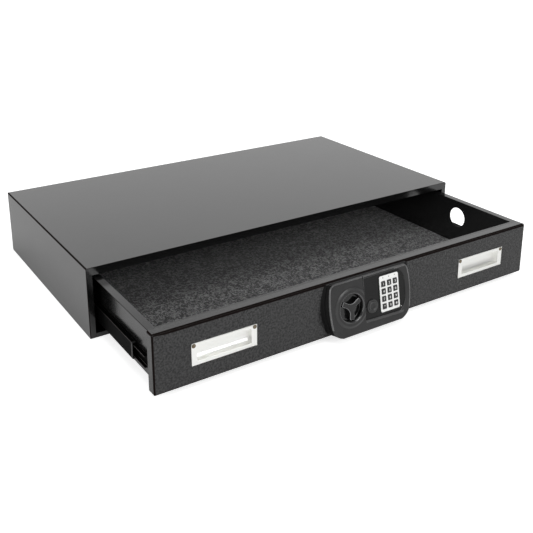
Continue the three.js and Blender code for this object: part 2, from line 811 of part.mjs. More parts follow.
function makeKnob() {
  const knobBack = recessDepth - runningGap;
  const spokes = [];
  for (let i = 0; i < spokeCount; i += 1) {
    const bar = roundedRectangle(knobReach / 2, 0, knobReach, spokeWidth, spokeCorner);
    const spoke = alongY(bar, spokeInset, knobBack - spokeLift);
    const turn = -Math.PI / 6 - (i * 2 * Math.PI) / spokeCount;
    spokes.push(spoke.rotateY(turn).translate(knobX, 0, knobUp));
  }
  const hub = barY(knobHubRadius, knobX, knobUp, -knobHubProud, knobBack, 20);
  add(lock, 'knob', join(hub, ...spokes), finishes.glossBlack);

  const spindle = barY(spindleRadius, knobX, knobUp, knobBack + seam, camInset - seam, 16);
  add(lock, 'knob_spindle', spindle, finishes.zinc);

  const camBack = camInset + camThickness;
  const pinTurn = knobTurn / 2;
  const pinX = knobX + camThrow * Math.cos(pinTurn);
  const pinUp = knobUp + camThrow * Math.sin(pinTurn);
  const notches = [-Math.PI / 2, -Math.PI / 2 + knobTurn].map((angle) => {
    const half = notchWidth / 2;
    const floor = camRadius - notchDepth;
    const notch = block(floor, camRadius + past, camInset - past, camBack + past, -half, half);
    return notch.rotateY(-angle).translate(knobX, 0, knobUp);
  });
  const cam = cut(
    join(
      barY(camRadius, knobX, knobUp, camInset, camBack, 32),
      barY(camPinRadius, pinX, pinUp, camInset + camThickness / 2, camBack + camPinLength, 12),
    ),
    ...notches,
  );
  add(lock, 'cam_disc', cam, finishes.zinc);
}

// Bolt work inside the pan: a plate with two bolts, lifted by the cam's pin in a cross slot

const camMiddle = pointFromLock(knobX, camInset + camThickness / 2, knobUp);
const boltTravel = (2 * camThrow * Math.sin(knobTurn / 2)) / Math.cos(lockTilt);

function makeBoltWork() {
  const plateMiddle = boltPlateFront + boltPlateThickness / 2;
  const plateBack = boltPlateFront + boltPlateThickness;
  const slotZ = camMiddle.z - (plateMiddle - camMiddle.y) * Math.tan(lockTilt) + boltTravel / 2;
  const plateTop = lockZ + boltPlateLift;
  const plateBottom = plateTop - boltPlateHeight;
  const plateHalf = boltPlateWidth / 2;
  const slotLow = camThrow * Math.cos(knobTurn / 2) - camPinRadius - 2 * pinSlotPlay;
  const slotHigh = camThrow + camPinRadius + 2 * pinSlotPlay;
  const pinRise = (boltPlateThickness / 2) * Math.tan(lockTilt);
  const slotHalf = camPinRadius / Math.cos(lockTilt) + pinRise + pinSlotPlay;
  const bolts = [-1, 1].map((side) => {
    const x = knobX + (side * boltSpacing) / 2;
    const low = frontBottom + boltTipInset;
    return block(x - boltWidth / 2, x + boltWidth / 2, boltPlateFront, plateBack, low, plateBottom + past);
  });
  const web = block(knobX - plateHalf, knobX + plateHalf, boltPlateFront, plateBack, plateBottom, plateTop);
  const plate = cut(
    join(web, ...bolts),
    block(
      knobX + slotLow,
      knobX + slotHigh,
      boltPlateFront - past,
      plateBack + past,
      slotZ - slotHalf,
      slotZ + slotHalf,
    ),
  );
  add(drawer, 'bolt_plate', plate, finishes.zinc);

  const guideBack = plateBack + 2 * runningGap;
  const guideTop = plateTop + guideHead;
  const guideBottom = guideTop - guideHeight;
  const guideInner = plateHalf + 2 * runningGap;
  const guideOuter = guideInner + guideSheet;
  const guideFront = drawerSheet + seam;
  const left = knobX - guideOuter;
  const right = knobX + guideOuter;
  const windowLeft = knobX - guideWindowMargin;
  const windowRight = knobX + slotHigh + guideWindowMargin;
  const windowTop = slotZ + camPinRadius + guideWindowMargin;
  const windowBottom = slotZ - boltTravel - camPinRadius - guideWindowMargin;
  const guide = cut(
    block(left, right, guideFront, guideBack + guideSheet, guideBottom, guideTop),
    block(knobX - guideInner, knobX + guideInner, 0, guideBack, guideBottom - past, guideTop + past),
    block(windowLeft, windowRight, 0, guideBack + guideSheet + past, windowBottom, windowTop),
  );
  add(drawer, 'bolt_guide', guide, finishes.zinc);
}

// Solenoid below the cam: its sprung plunger drops into a notch at either end of the knob's turn

function springCurve(x, y, bottom, top, radius) {
  const curve = new THREE.Curve();
  curve.getPoint = (t) => {
    const angle = 2 * Math.PI * springTurns * t;
    const z = bottom + (top - bottom) * t;
    return new THREE.Vector3(x + radius * Math.cos(angle), y + radius * Math.sin(angle), z);
  };
  return curve;
}

function makeSolenoid() {
  const front = drawerSheet + seam;
  const plungerY = front + solenoidDepth / 2;
  const rimBottom = camMiddle.z - camRadius * Math.cos(lockTilt);
  const tip = rimBottom - tipGap - camThickness * Math.sin(lockTilt);
  const coilTop = tip - plungerReach;
  const coilBottom = coilTop - solenoidHeight;
  const half = solenoidWidth / 2;
  const boreBottom = coilTop - plungerBore;
  const coil = cut(
    block(knobX - half, knobX + half, front, front + solenoidDepth, coilBottom, coilTop),
    barZ(plungerRadius + runningGap, knobX, plungerY, boreBottom, coilTop + past),
  );
  add(drawer, 'solenoid_body', coil, finishes.slideBlack);

  const collarBottom = coilTop + collarLift;
  const plunger = join(
    barZ(plungerRadius, knobX, plungerY, boreBottom + runningGap, tip, 12),
    barZ(collarRadius, knobX, plungerY, collarBottom, collarBottom + collarHeight, 12),
  );
  add(drawer, 'solenoid_plunger', plunger, finishes.ballSteel);

  const springRadius = plungerRadius + springGap + springWireRadius;
  const low = coilTop + springWireRadius + runningGap;
  const high = collarBottom - springWireRadius - runningGap;
  const spring = new THREE.ExtrudeGeometry(roundSection(springWireRadius, springSides), {
    steps: springTurns * springStepsPerTurn,
    extrudePath: springCurve(knobX, plungerY, low, high, springRadius),
  });
  add(drawer, 'plunger_spring', spring, finishes.ballSteel);
}

// Keypad: plate, sprung keys held by their flanges, contact mat and circuit board

const keyFieldWidth = (keyColumns - 1) * keyPitchX + keyWidth;
const keyFieldHeight = (keyRows - 1) * keyPitchUp + keyHeight;
const keyFieldUp = keypadUp - keypadHeight / 2 + keypadFootMargin + keyFieldHeight / 2;
const keyWindowWidth = keyFieldWidth + 2 * (keyFlangeSide + seam);
const keyWindowHeight = keyFieldHeight + 2 * (keyFlangeEnd + seam);
const keyNames = ['1', '2', '3', '4', '5', '6', '7', '8', '9', 'clear', '0', 'enter'];

function keyPlaces() {
  return keyNames.map((label, i) => ({
    label,
    x: keypadX + ((i % keyColumns) - (keyColumns - 1) / 2) * keyPitchX,
    up: keyFieldUp + ((keyRows - 1) / 2 - Math.floor(i / keyColumns)) * keyPitchUp,
  }));
}

function centredBlock(x, up, width, height, y0, y1) {
  return block(x - width / 2, x + width / 2, y0, y1, up - height / 2, up + height / 2);
}

function makeKeypad() {
  const plateBack = keypadThickness - keypadProud;
  const play = 2 * runningGap;
  const windows = keyPlaces().map(({ x, up }) =>
    centredBlock(x, up, keyWidth + play, keyHeight + play, -keypadProud - past, plateBack + past),
  );
  const face = roundedRectangle(keypadX, keypadUp, keypadWidth, keypadHeight, keypadCorner);
  add(lock, 'keypad_plate', cut(alongY(face, -keypadProud, plateBack), ...windows), finishes.whitePlastic);

  const flangeFront = plateBack + seam;
  const flangeBack = flangeFront + keyFlangeThickness;
  const keyFront = -keypadProud - keyProud;
  const flangeWidth = keyWidth + 2 * keyFlangeSide;
  const flangeHeight = keyHeight + 2 * keyFlangeEnd;
  for (const { label, x, up } of keyPlaces()) {
    const key = join(
      centredBlock(x, up, keyWidth, keyHeight, keyFront, flangeBack),
      centredBlock(x, up, flangeWidth, flangeHeight, flangeFront, flangeBack),
    );
    add(lock, `key_${label}`, key, finishes.keyPlastic);
  }

  const matFront = flangeBack + keyTravel + runningGap;
  const matBack = matFront + matThickness;
  const mat = centredBlock(
    keypadX,
    keyFieldUp,
    keyWindowWidth - 2 * runningGap,
    keyWindowHeight - 2 * runningGap,
    matFront,
    matBack,
  );
  add(lock, 'key_mat', mat, finishes.rubber);

  const boardFront = Math.max(matBack, coverThickness) + seam;
  const boardBack = boardFront + boardThickness;
  const board = centredBlock(keypadX, keypadUp - boardDrop, boardWidth, boardHeight, boardFront, boardBack);
  add(lock, 'circuit_board', board, finishes.boardGreen);
}

// Override key: a pull-off cap over a plug that turns in a fixed cylinder

function makeOverride() {
  const capSides = 24;
  const capRing = (radius, y) =>
    Array.from({ length: capSides }, (_, i) => {
      const angle = (2 * Math.PI * i) / capSides;
      const x = keyholeX + radius * Math.cos(angle);
      return new THREE.Vector3(x, y, keyholeUp + radius * Math.sin(angle));
    });
  const cap = loft([
    capRing(capRadius - capEdge, -capRingProud - capCrown),
    capRing(capRadius, -capRingProud),
    capRing(capRadius, capPocketFloor - seam),
  ]);
  add(lock, 'override_cap', cap, finishes.housingPlastic);

  const cylinderFront = coverThickness + seam;
  const cylinderBack = cylinderFront + cylinderLength;
  const cylinder = cut(
    barY(cylinderRadius, keyholeX, keyholeUp, cylinderFront, cylinderBack),
    barY(plugRadius + runningGap, keyholeX, keyholeUp, cylinderFront - past, cylinderBack + past, 20),
  );
  add(lock, 'key_cylinder', cylinder, finishes.zinc);

  const plugFront = coverThickness - 2 * runningGap;
  const tailFront = cylinderBack + runningGap;
  const tailBack = tailFront + plugTailThickness;
  const tailLeft = keyholeX - plugTailWidth / 2;
  const tailRight = keyholeX + plugTailWidth / 2;
  const tailTop = keyholeUp + plugTailTop;
  const plug = cut(
    join(
      barY(plugRadius, keyholeX, keyholeUp, plugFront, tailFront + plugTailThickness / 2, 20),
      block(tailLeft, tailRight, tailFront, tailBack, keyholeUp - plugTail, tailTop),
    ),
    centredBlock(
      keyholeX,
      keyholeUp,
      keySlotWidth,
      keySlotHeight,
      plugFront - past,
      plugFront + keySlotDepth,
    ),
  );
  add(lock, 'key_plug', plug, finishes.zinc);
}

// Battery: a cup behind the tray's front wall, with a sliding door inside the drawer

const batteryZ = frontBottom + batteryLift;

function batteryOpening(y0, y1, grow) {
  const width = batteryWidth + 2 * (batteryPlay + grow);
  const height = batteryHeight + 2 * (batteryPlay + grow);
  return centredBlock(batteryX, batteryZ, width, height, y0, y1);
}

function makeBattery() {
  const rim = trayFrontWall - drawerSheet - seam;
  const batteryBack = rim - batteryRecess;
  const batteryFront = batteryBack - batteryDepth;
  const cupFloor = batteryFront - runningGap;
  const cup = cut(
    batteryOpening(cupFloor - holderWall, rim, holderWall),
    batteryOpening(cupFloor, rim + past, 0),
  );
  add(drawer, 'battery_holder', cup, finishes.glossBlack);

  const cell = centredBlock(batteryX, batteryZ, batteryWidth, batteryHeight, batteryFront, batteryBack);
  add(drawer, 'battery', cell, finishes.batteryShell);

  const doorFront = trayFrontWall + seam;
  const doorBack = doorFront + doorThickness;
  const doorWidth = batteryWidth + 2 * doorOverlap;
  const doorHeight = batteryHeight + 2 * doorOverlap;
  const gripX = batteryX - doorWidth / 2 + doorGripInset + doorGripWidth / 2;
  const door = join(
    centredBlock(batteryX, batteryZ, doorWidth, doorHeight, doorFront, doorBack),
    centredBlock(gripX, batteryZ, doorGripWidth, doorGripHeight, doorFront, doorBack + doorGripProud),
  );
  add(drawer, 'battery_door', door, finishes.glossBlack);

  const trackX = batteryX + doorTravel / 2;
  const wayWidth = doorWidth + doorTravel + 2 * runningGap;
  const wayHeight = doorHeight + 2 * runningGap;
  const wayBack = doorBack + runningGap;
  const trackBack = wayBack + trackSheet;
  const mouthWidth = wayWidth - 2 * trackCover;
  const mouthHeight = wayHeight - 2 * trackCover;
  const track = cut(
    centredBlock(trackX, batteryZ, wayWidth + 2 * trackLip, wayHeight + 2 * trackLip, doorFront, trackBack),
    centredBlock(trackX, batteryZ, wayWidth, wayHeight, doorFront - past, wayBack),
    centredBlock(trackX, batteryZ, mouthWidth, mouthHeight, doorFront, trackBack + past),
  );
  add(drawer, 'battery_door_track', track, finishes.glossBlack);
}

// Lead from the circuit board, through the drawer front, to the battery cup

function makeLead() {
  const boardBack = coverThickness + seam + boardThickness;
  const cupSide = batteryX - batteryWidth / 2 - batteryPlay - holderWall;
  const insidePan = 14;
  const lockUp = (rise) => (rise - leadHoleDrop) / Math.cos(lockTilt);
  const route = new THREE.CatmullRomCurve3([
    pointFromLock(leadHoleX, boardBack + 1.2, lockUp(9)),
    pointFromLock(leadHoleX, boardBack + 7, lockUp(8)),
    new THREE.Vector3(leadHoleX, drawerSheet / 2, leadHoleZ),
    new THREE.Vector3(leadHoleX + 8, 10, leadHoleZ),
    new THREE.Vector3(leadHoleX + 30, insidePan, leadHoleZ + 10),
    new THREE.Vector3(cupSide - 12, insidePan, batteryZ - 4),
    new THREE.Vector3(cupSide - runningGap - seam, insidePan, batteryZ - 4),
  ]);
  const section = roundSection(leadRadius, leadSides);
  const lead = new THREE.ExtrudeGeometry(section, { steps: leadSteps, extrudePath: route });
  add(drawer, 'battery_lead', lead, finishes.leadRed);
}

makeCabinet();
makeSlides();
makeTray();
makeFront();
makeHandles();
makeHousing();
makeKnob();
makeBoltWork();
makeSolenoid();
makeKeypad();
makeOverride();
makeBattery();
makeLead();

export default safe;
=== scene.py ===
# %% [markdown]
# # An under-bed safe with its drawer open
# The working parts come packed from CAD and never move here. This lesson dresses them: it rounds
# the folds of the sheet steel, lays the felt, presses the pulls, moulds the lock and prints its
# keys, and gives each surface a finish that is made of nodes.

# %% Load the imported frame
import json
import math

import bmesh
import bpy
from mathutils import Matrix, Vector

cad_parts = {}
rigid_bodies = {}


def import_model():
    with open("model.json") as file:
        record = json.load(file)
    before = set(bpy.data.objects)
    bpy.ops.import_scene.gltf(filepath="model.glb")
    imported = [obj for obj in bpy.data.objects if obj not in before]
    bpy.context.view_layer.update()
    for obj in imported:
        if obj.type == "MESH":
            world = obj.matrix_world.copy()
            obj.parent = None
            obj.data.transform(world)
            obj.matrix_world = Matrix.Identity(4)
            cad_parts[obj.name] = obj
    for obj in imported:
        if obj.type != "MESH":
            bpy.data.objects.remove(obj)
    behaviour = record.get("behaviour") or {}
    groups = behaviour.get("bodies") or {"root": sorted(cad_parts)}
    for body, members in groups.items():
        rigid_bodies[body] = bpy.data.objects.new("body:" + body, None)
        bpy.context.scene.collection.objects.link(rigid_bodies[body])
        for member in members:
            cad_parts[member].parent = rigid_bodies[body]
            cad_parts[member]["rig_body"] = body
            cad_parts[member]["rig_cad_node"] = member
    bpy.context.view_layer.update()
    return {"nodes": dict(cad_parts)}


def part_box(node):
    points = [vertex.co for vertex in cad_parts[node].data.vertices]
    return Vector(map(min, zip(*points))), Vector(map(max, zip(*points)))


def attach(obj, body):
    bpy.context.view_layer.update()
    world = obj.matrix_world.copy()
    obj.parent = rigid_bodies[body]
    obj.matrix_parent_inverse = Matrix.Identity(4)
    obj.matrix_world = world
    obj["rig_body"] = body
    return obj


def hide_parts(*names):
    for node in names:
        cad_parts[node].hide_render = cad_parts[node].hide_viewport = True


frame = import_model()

MM = 0.001
nodes = frame["nodes"]

# %% [markdown]
# ## The camera
# The photograph was taken from the left, above the drawer. Its corners were measured, and a camera
# solved from them: where it stands, how it is turned and how long its lens is. The picture is
# square, so the lens in millimetres is the focal length in pixels times the sensor's width over
# the picture's. Upright edges are parallel in the photograph, as a lens shifted down shows them,
# so the camera looks less steeply down and its lens is shifted, though only by half of what
# parallel edges would take.

# %% Camera
PICTURE_PX = 533
FOCAL_PX = 799
SENSOR_MM = 36
CAMERA_PLACE = (-1.0098, -1.7298, 0.8521)
CAMERA_AZIMUTH = math.radians(-32.98)
CAMERA_ELEVATION = math.radians(17.12)
CAMERA_SHIFT = -0.2
CLIP_NEAR = 0.05
CLIP_FAR = 60

bpy.ops.object.camera_add(
    location=CAMERA_PLACE,
    rotation=(math.pi / 2 - CAMERA_ELEVATION, 0, CAMERA_AZIMUTH),
)
camera = bpy.context.object
camera.data.sensor_width = SENSOR_MM
camera.data.lens = FOCAL_PX / PICTURE_PX * SENSOR_MM
camera.data.shift_y = CAMERA_SHIFT
camera.data.clip_start = CLIP_NEAR
camera.data.clip_end = CLIP_FAR
bpy.context.scene.camera = camera
print("lens in millimetres:", round(camera.data.lens, 2))

# %% [markdown]
# ## The studio
# The real safe was cut out on pure white. Black gloss paint shows what it mirrors: the top and the
# sides mirror white paper and are grey, and the flange over the drawer mirrors black felt. So a
# white floor runs to a white surround. Reflections see that surround darken overhead and toward
# the front, and soft lamps light the felt and the lock.

# %% World and colour handling
scene = bpy.context.scene
scene.view_settings.view_transform = "Standard"
world = bpy.data.worlds.new("white surround")
scene.world = world
world.use_nodes = True
sky = world.node_tree
background = sky.nodes["Background"]
background.inputs["Color"].default_value = (1, 1, 1, 1)

# %% Helpers for light


def put(tree, value, socket):
    """Sets a socket to a plain value, or links it to another socket."""
    if isinstance(value, bpy.types.NodeSocket):
        tree.links.new(value, socket)
    else:
        socket.default_value = value


def seen_directly(tree, seen, mirrored, other):
    """A strength for what the camera sees, for reflections and glass, and for all other light."""
    path = tree.nodes.new("ShaderNodeLightPath")
    either = tree.nodes.new("ShaderNodeMath")
    either.operation = "MAXIMUM"
    tree.links.new(path.outputs["Is Glossy Ray"], either.inputs[0])
    tree.links.new(path.outputs["Is Transmission Ray"], either.inputs[1])
    inner = tree.nodes.new("ShaderNodeMix")
    tree.links.new(either.outputs[0], inner.inputs["Factor"])
    put(tree, other, inner.inputs["A"])
    put(tree, mirrored, inner.inputs["B"])
    outer = tree.nodes.new("ShaderNodeMix")
    tree.links.new(path.outputs["Is Camera Ray"], outer.inputs["Factor"])
    tree.links.new(inner.outputs["Result"], outer.inputs["A"])
    put(tree, seen, outer.inputs["B"])
    return outer.outputs["Result"]


def fade(tree, source, start_at, end_at, start_level, end_level):
    """A level that changes smoothly while the source runs from one value to another."""
    node = tree.nodes.new("ShaderNodeMapRange")
    node.interpolation_type = "SMOOTHSTEP"
    for socket, value in zip(
        ("From Min", "From Max", "To Min", "To Max"), (start_at, end_at, start_level, end_level)
    ):
        node.inputs[socket].default_value = value
    tree.links.new(source, node.inputs["Value"])
    return node.outputs["Result"]


# %% The surround's levels
AMBIENT = 0.42
CEILING_FROM = 0.47
CEILING_TO = 0.56
CEILING_LEVEL = 0.03
FRONT_FROM = -0.7
FRONT_TO = -0.1
FRONT_LEVEL = 0.42

direction = sky.nodes.new("ShaderNodeTexCoord")
split = sky.nodes.new("ShaderNodeSeparateXYZ")
sky.links.new(direction.outputs["Generated"], split.inputs["Vector"])
ceiling = fade(sky, split.outputs["Z"], CEILING_FROM, CEILING_TO, 1, CEILING_LEVEL)
front = fade(sky, split.outputs["Y"], FRONT_FROM, FRONT_TO, FRONT_LEVEL, 1)
surround = sky.nodes.new("ShaderNodeMath")
surround.operation = "MULTIPLY"
sky.links.new(ceiling, surround.inputs[0])
sky.links.new(front, surround.inputs[1])
strength = seen_directly(sky, 1, surround.outputs[0], AMBIENT)
sky.links.new(strength, background.inputs["Strength"])
print("surround: ambient", AMBIENT, "overhead", CEILING_LEVEL, "front", FRONT_LEVEL)

# %% Floor
FLOOR_SIZE = 40
FLOOR_DROP = 0.0004
FLOOR_GREY = 0.85
FLOOR_SEEN = 0.7
FLOOR_MIRRORED = 0.13

bpy.ops.object.select_all(action="DESELECT")
bpy.ops.mesh.primitive_plane_add(size=FLOOR_SIZE, location=(0, 0, -FLOOR_DROP))
floor = bpy.context.object
floor.name = "studio_floor"

floor_white = bpy.data.materials.new("floor white")
floor_white.use_nodes = True
floor_nodes = floor_white.node_tree.nodes
floor_paper = floor_nodes["Principled BSDF"]
floor_paper.inputs["Base Color"].default_value = (FLOOR_GREY, FLOOR_GREY, FLOOR_GREY, 1)
floor_paper.inputs["Roughness"].default_value = 0.9
floor_paper.inputs["Specular IOR Level"].default_value = 0.0
floor_glow = floor_nodes.new("ShaderNodeEmission")
floor_sum = floor_nodes.new("ShaderNodeAddShader")
floor_links = floor_white.node_tree.links
floor_strength = seen_directly(floor_white.node_tree, FLOOR_SEEN, FLOOR_MIRRORED, 0)
floor_links.new(floor_strength, floor_glow.inputs["Strength"])
floor_links.new(floor_paper.outputs["BSDF"], floor_sum.inputs[0])
floor_links.new(floor_glow.outputs["Emission"], floor_sum.inputs[1])
floor_links.new(floor_sum.outputs["Shader"], floor_nodes["Material Output"].inputs["Surface"])
floor.data.materials.append(floor_white)
print("floor: seen at", FLOOR_SEEN, "and mirrored at", FLOOR_MIRRORED)

# %% Lamps
LAMPS = {
    "overhead softbox": ((-0.2, -0.9, 2.3), 1.6, 21),
    "left softbox": ((-2.6, -0.6, 0.7), 1.2, 15),
    "front softbox": ((0.4, -2.8, 1.45), 1.2, 24),
}
LAMP_TARGET = Vector((0, -0.15, 0.1))

for name, (place, size, power) in LAMPS.items():
    toward = LAMP_TARGET - Vector(place)
    turn = toward.to_track_quat("-Z", "Y").to_euler()
    bpy.ops.object.light_add(type="AREA", location=place, rotation=turn)
    lamp = bpy.context.object
    lamp.name = name
    lamp.data.size = size
    lamp.data.energy = power
print("lamps:", len(LAMPS))

# %% [markdown]
# ## Finishes
# Every finish is a Principled shader with its grain made by noise that reads Object coordinates.
# All the pieces sit at the origin with their place in their mesh, so one metre of noise is one
# metre of steel, and a pattern never slides.

# %% Helpers for finishes


def new_finish(name, colour, roughness, metallic=0.0, **sockets):
    """A material with plain values on its shader; other sockets by name, with _ for a space."""
    material = bpy.data.materials.new(name)
    material.use_nodes = True
    shader = material.node_tree.nodes["Principled BSDF"]
    shader.inputs["Base Color"].default_value = (*colour, 1)
    shader.inputs["Roughness"].default_value = roughness
    shader.inputs["Metallic"].default_value = metallic
    for socket, value in sockets.items():
        shader.inputs[socket.replace("_", " ")].default_value = value
    return material


def add_noise(material, size, detail=2.0, stretch=(1, 1, 1), distortion=0.0):
    """Noise whose blobs are about size metres across, stretched along the piece's own axes."""
    tree = material.node_tree
    place = tree.nodes.new("ShaderNodeTexCoord")
    mapping = tree.nodes.new("ShaderNodeMapping")
    mapping.inputs["Scale"].default_value = stretch
    noise = tree.nodes.new("ShaderNodeTexNoise")
    noise.inputs["Scale"].default_value = 1 / size
    noise.inputs["Detail"].default_value = detail
    noise.inputs["Distortion"].default_value = distortion
    tree.links.new(place.outputs["Object"], mapping.inputs["Vector"])
    tree.links.new(mapping.outputs["Vector"], noise.inputs["Vector"])
    return noise.outputs["Fac"]


def add_ramp(material, source, stops):
    """Maps a noise to greys or colours: stops is [(position, colour), ...]."""
    ramp = material.node_tree.nodes.new("ShaderNodeValToRGB")
    elements = ramp.color_ramp.elements
    while len(elements) < len(stops):
        elements.new(0.5)
    for element, (position, colour) in zip(elements, stops):
        element.position = position
        element.color = (*colour, 1)
    material.node_tree.links.new(source, ramp.inputs["Fac"])
    return ramp.outputs["Color"]


def to_shader(material, source, socket):
    """Links a node's output to a socket of the material's shader."""
    shader = material.node_tree.nodes["Principled BSDF"]
    material.node_tree.links.new(source, shader.inputs[socket])


def add_range(material, source, low, high):
    """Maps a noise, which keeps mostly between 0.3 and 0.7, to two roughness values."""
    spread = material.node_tree.nodes.new("ShaderNodeMapRange")
    for socket, value in zip(("From Min", "From Max", "To Min", "To Max"), (0.3, 0.7, low, high)):
        spread.inputs[socket].default_value = value
    material.node_tree.links.new(source, spread.inputs["Value"])
    return spread.outputs["Result"]


def add_bump(material, source, height, strength):
    """Raises the surface by up to height metres where the noise is light; returns the normal."""
    bump = material.node_tree.nodes.new("ShaderNodeBump")
    bump.inputs["Strength"].default_value = strength
    bump.inputs["Distance"].default_value = height
    material.node_tree.links.new(source, bump.inputs["Height"])
    return bump.outputs["Normal"]


def grey(level):
    """A neutral colour that is the least bit cool."""
    return (level, level, level * 1.01)


# %% [markdown]
# ### Paint
# The steel is baked in a black enamel with a fine texture. Its own colour is nearly black, and its
# gloss does the rest. A fine noise makes the texture, and a wide one makes the gloss a little
# uneven. The folds look like thin dark lines, which are shade. Lighting them so would take a room
# built for one view, so the folds get a dark, dull finish of their own: painted shade, which holds
# from every side.

# %% Paint
GLOSS_DRIFT = 0.09
ENAMEL_RELIEF = 0.0002


def black_enamel(name, level, contrast, grain, roughness, gloss):
    """Textured enamel: a speckle of grain metres, and a gloss that wanders slowly."""
    enamel = new_finish(name, grey(level), roughness, Specular_IOR_Level=gloss)
    fine = add_noise(enamel, grain, detail=2.0)
    dark, light = grey(level * (1 - contrast)), grey(level * (1 + contrast))
    to_shader(enamel, add_ramp(enamel, fine, [(0.35, dark), (0.65, light)]), "Base Color")
    wide = add_noise(enamel, GLOSS_DRIFT, detail=1.0)
    to_shader(enamel, add_range(enamel, wide, roughness - 0.01, roughness + 0.01), "Roughness")
    to_shader(enamel, add_bump(enamel, fine, ENAMEL_RELIEF, 0.35), "Normal")
    return enamel


cabinet_enamel = black_enamel("cabinet enamel", 0.006, 0.6, 0.003, 0.16, 0.92)
drawer_enamel = black_enamel("drawer enamel", 0.031, 0.62, 0.004, 0.19, 0.3)
tray_enamel = black_enamel("tray enamel", 0.006, 0.6, 0.003, 0.19, 0.8)
ledge_enamel = black_enamel("ledge enamel", 0.012, 0.8, 0.003, 0.15, 0.95)
# A dark, dull finish that paints the shade along the folds.
fold_shade_paint = new_finish("painted fold shade", (0.006, 0.0035, 0.003), 0.6, Specular_IOR_Level=0.04)
fold_grain = add_noise(fold_shade_paint, 0.003)
to_shader(fold_shade_paint, add_range(fold_shade_paint, fold_grain, 0.55, 0.7), "Roughness")

# %% [markdown]
# ### Felt
# Needled felt is a mat of grey and black fibres that lie every way. Three noises make it: wide
# clumps, and short fibres drawn out along two directions. They set both the colour and the nap.
# Fibres could be grown as hair, but the photograph shows no single one, so noise is enough.

# %% Felt
FELT_CLUMP = 0.02
FELT_FIBRE = 0.0034
FELT_TWIST = 0.6
FELT_NAP = 0.0012
CLUMP_SHARE = 0.15
FELT_STOPS = [
    (0.46, (0.001, 0.001, 0.001)),
    (0.5, (0.016, 0.016, 0.016)),
    (0.54, (0.17, 0.17, 0.172)),
]

felt_charcoal = new_finish(
    "charcoal felt",
    grey(0.05),
    0.95,
    Sheen_Weight=0.25,
    Sheen_Roughness=0.6,
    Specular_IOR_Level=0.15,
)


def add_fibres(size, detail, stretch=(1, 1, 1)):
    return add_noise(felt_charcoal, size, detail, stretch, distortion=FELT_TWIST)


def mix_greys(material, first, second, share):
    mix = material.node_tree.nodes.new("ShaderNodeMix")
    mix.data_type = "RGBA"
    mix.inputs["Factor"].default_value = share
    material.node_tree.links.new(first, mix.inputs["A"])
    material.node_tree.links.new(second, mix.inputs["B"])
    return mix.outputs["Result"]


felt_clumps = add_fibres(FELT_CLUMP, 3.0)
felt_along = add_fibres(FELT_FIBRE, 2.0, (0.55, 1.3, 1))
felt_across = add_fibres(FELT_FIBRE, 2.0, (1.3, 0.55, 1))
felt_fibres = mix_greys(felt_charcoal, felt_along, felt_across, 0.5)
felt_all = mix_greys(felt_charcoal, felt_fibres, felt_clumps, CLUMP_SHARE)
to_shader(felt_charcoal, add_ramp(felt_charcoal, felt_all, FELT_STOPS), "Base Color")
to_shader(felt_charcoal, add_bump(felt_charcoal, felt_all, FELT_NAP, 0.8), "Normal")

# %% [markdown]
# ### Bright, dark and coloured finishes
# The pulls are brushed nickel, which mostly shows the white room, with faint draw lines along them.
# The slides are black zinc, with a lighter zinc on their edges as a painted highlight. The lock is
# satin plastic round a gloss knob, with lighter greys on it as painted highlights and a lighter
# grey on its base's top as painted light, and what hides inside it is zinc, steel, rubber and
# solder mask.

# %% Metals


def drawn_metal(name, colour, roughness, stretch, depth=0.00006):
    """Metal with fine draw lines, long where the stretch is small."""
    metal = new_finish(name, colour, roughness, 1.0)
    lines = add_noise(metal, 0.0012, detail=3.0, stretch=stretch)
    to_shader(metal, add_range(metal, lines, roughness - 0.05, roughness + 0.1), "Roughness")
    to_shader(metal, add_bump(metal, lines, depth, 0.5), "Normal")
    return metal


nickel = drawn_metal("brushed nickel", (0.93, 0.93, 0.905), 0.36, (0.04, 1, 1), depth=0.000006)
screw_bronze = drawn_metal("bronzed screw", (0.24, 0.2, 0.14), 0.38, (1, 1, 1))
washer_brown = drawn_metal("brown washer", (0.13, 0.1, 0.065), 0.42, (1, 1, 1))
zinc = drawn_metal("zinc plate", (0.52, 0.53, 0.54), 0.38, (1, 1, 0.2))
ball_steel = drawn_metal("polished ball steel", (0.62, 0.63, 0.64), 0.22, (1, 0.1, 1))

black_zinc = new_finish("black zinc", grey(0.0015), 0.36, Specular_IOR_Level=0.01)
rolling_lines = add_noise(black_zinc, 0.0016, detail=2.0, stretch=(1, 0.03, 1))
to_shader(black_zinc, add_range(black_zinc, rolling_lines, 0.3, 0.44), "Roughness")
to_shader(black_zinc, add_bump(black_zinc, rolling_lines, 0.00008, 0.6), "Normal")
# A lighter zinc for the slides' edges: a painted highlight.
zinc_edge_highlight = drawn_metal("zinc edge painted highlight", (0.12, 0.11, 0.11), 0.3, (1, 0.03, 1))

# %% Plastics and rubber
TONE_DRIFT = 0.03


def moulded(name, colour, roughness, grain=0.0009, depth=0.00012, variation=0.15, **sockets):
    """Moulded plastic: a fine spark-eroded grain and a slow change of tone."""
    plastic = new_finish(name, colour, roughness, **sockets)
    fine = add_noise(plastic, grain, detail=2.0)
    slow = add_noise(plastic, TONE_DRIFT, detail=1.0)
    low = tuple(c * (1 - variation) for c in colour)
    high = tuple(min(1.0, c * (1 + variation)) for c in colour)
    to_shader(plastic, add_ramp(plastic, slow, [(0.35, low), (0.65, high)]), "Base Color")
    to_shader(plastic, add_range(plastic, fine, roughness - 0.05, roughness + 0.07), "Roughness")
    to_shader(plastic, add_bump(plastic, fine, depth, 0.5), "Normal")
    return plastic


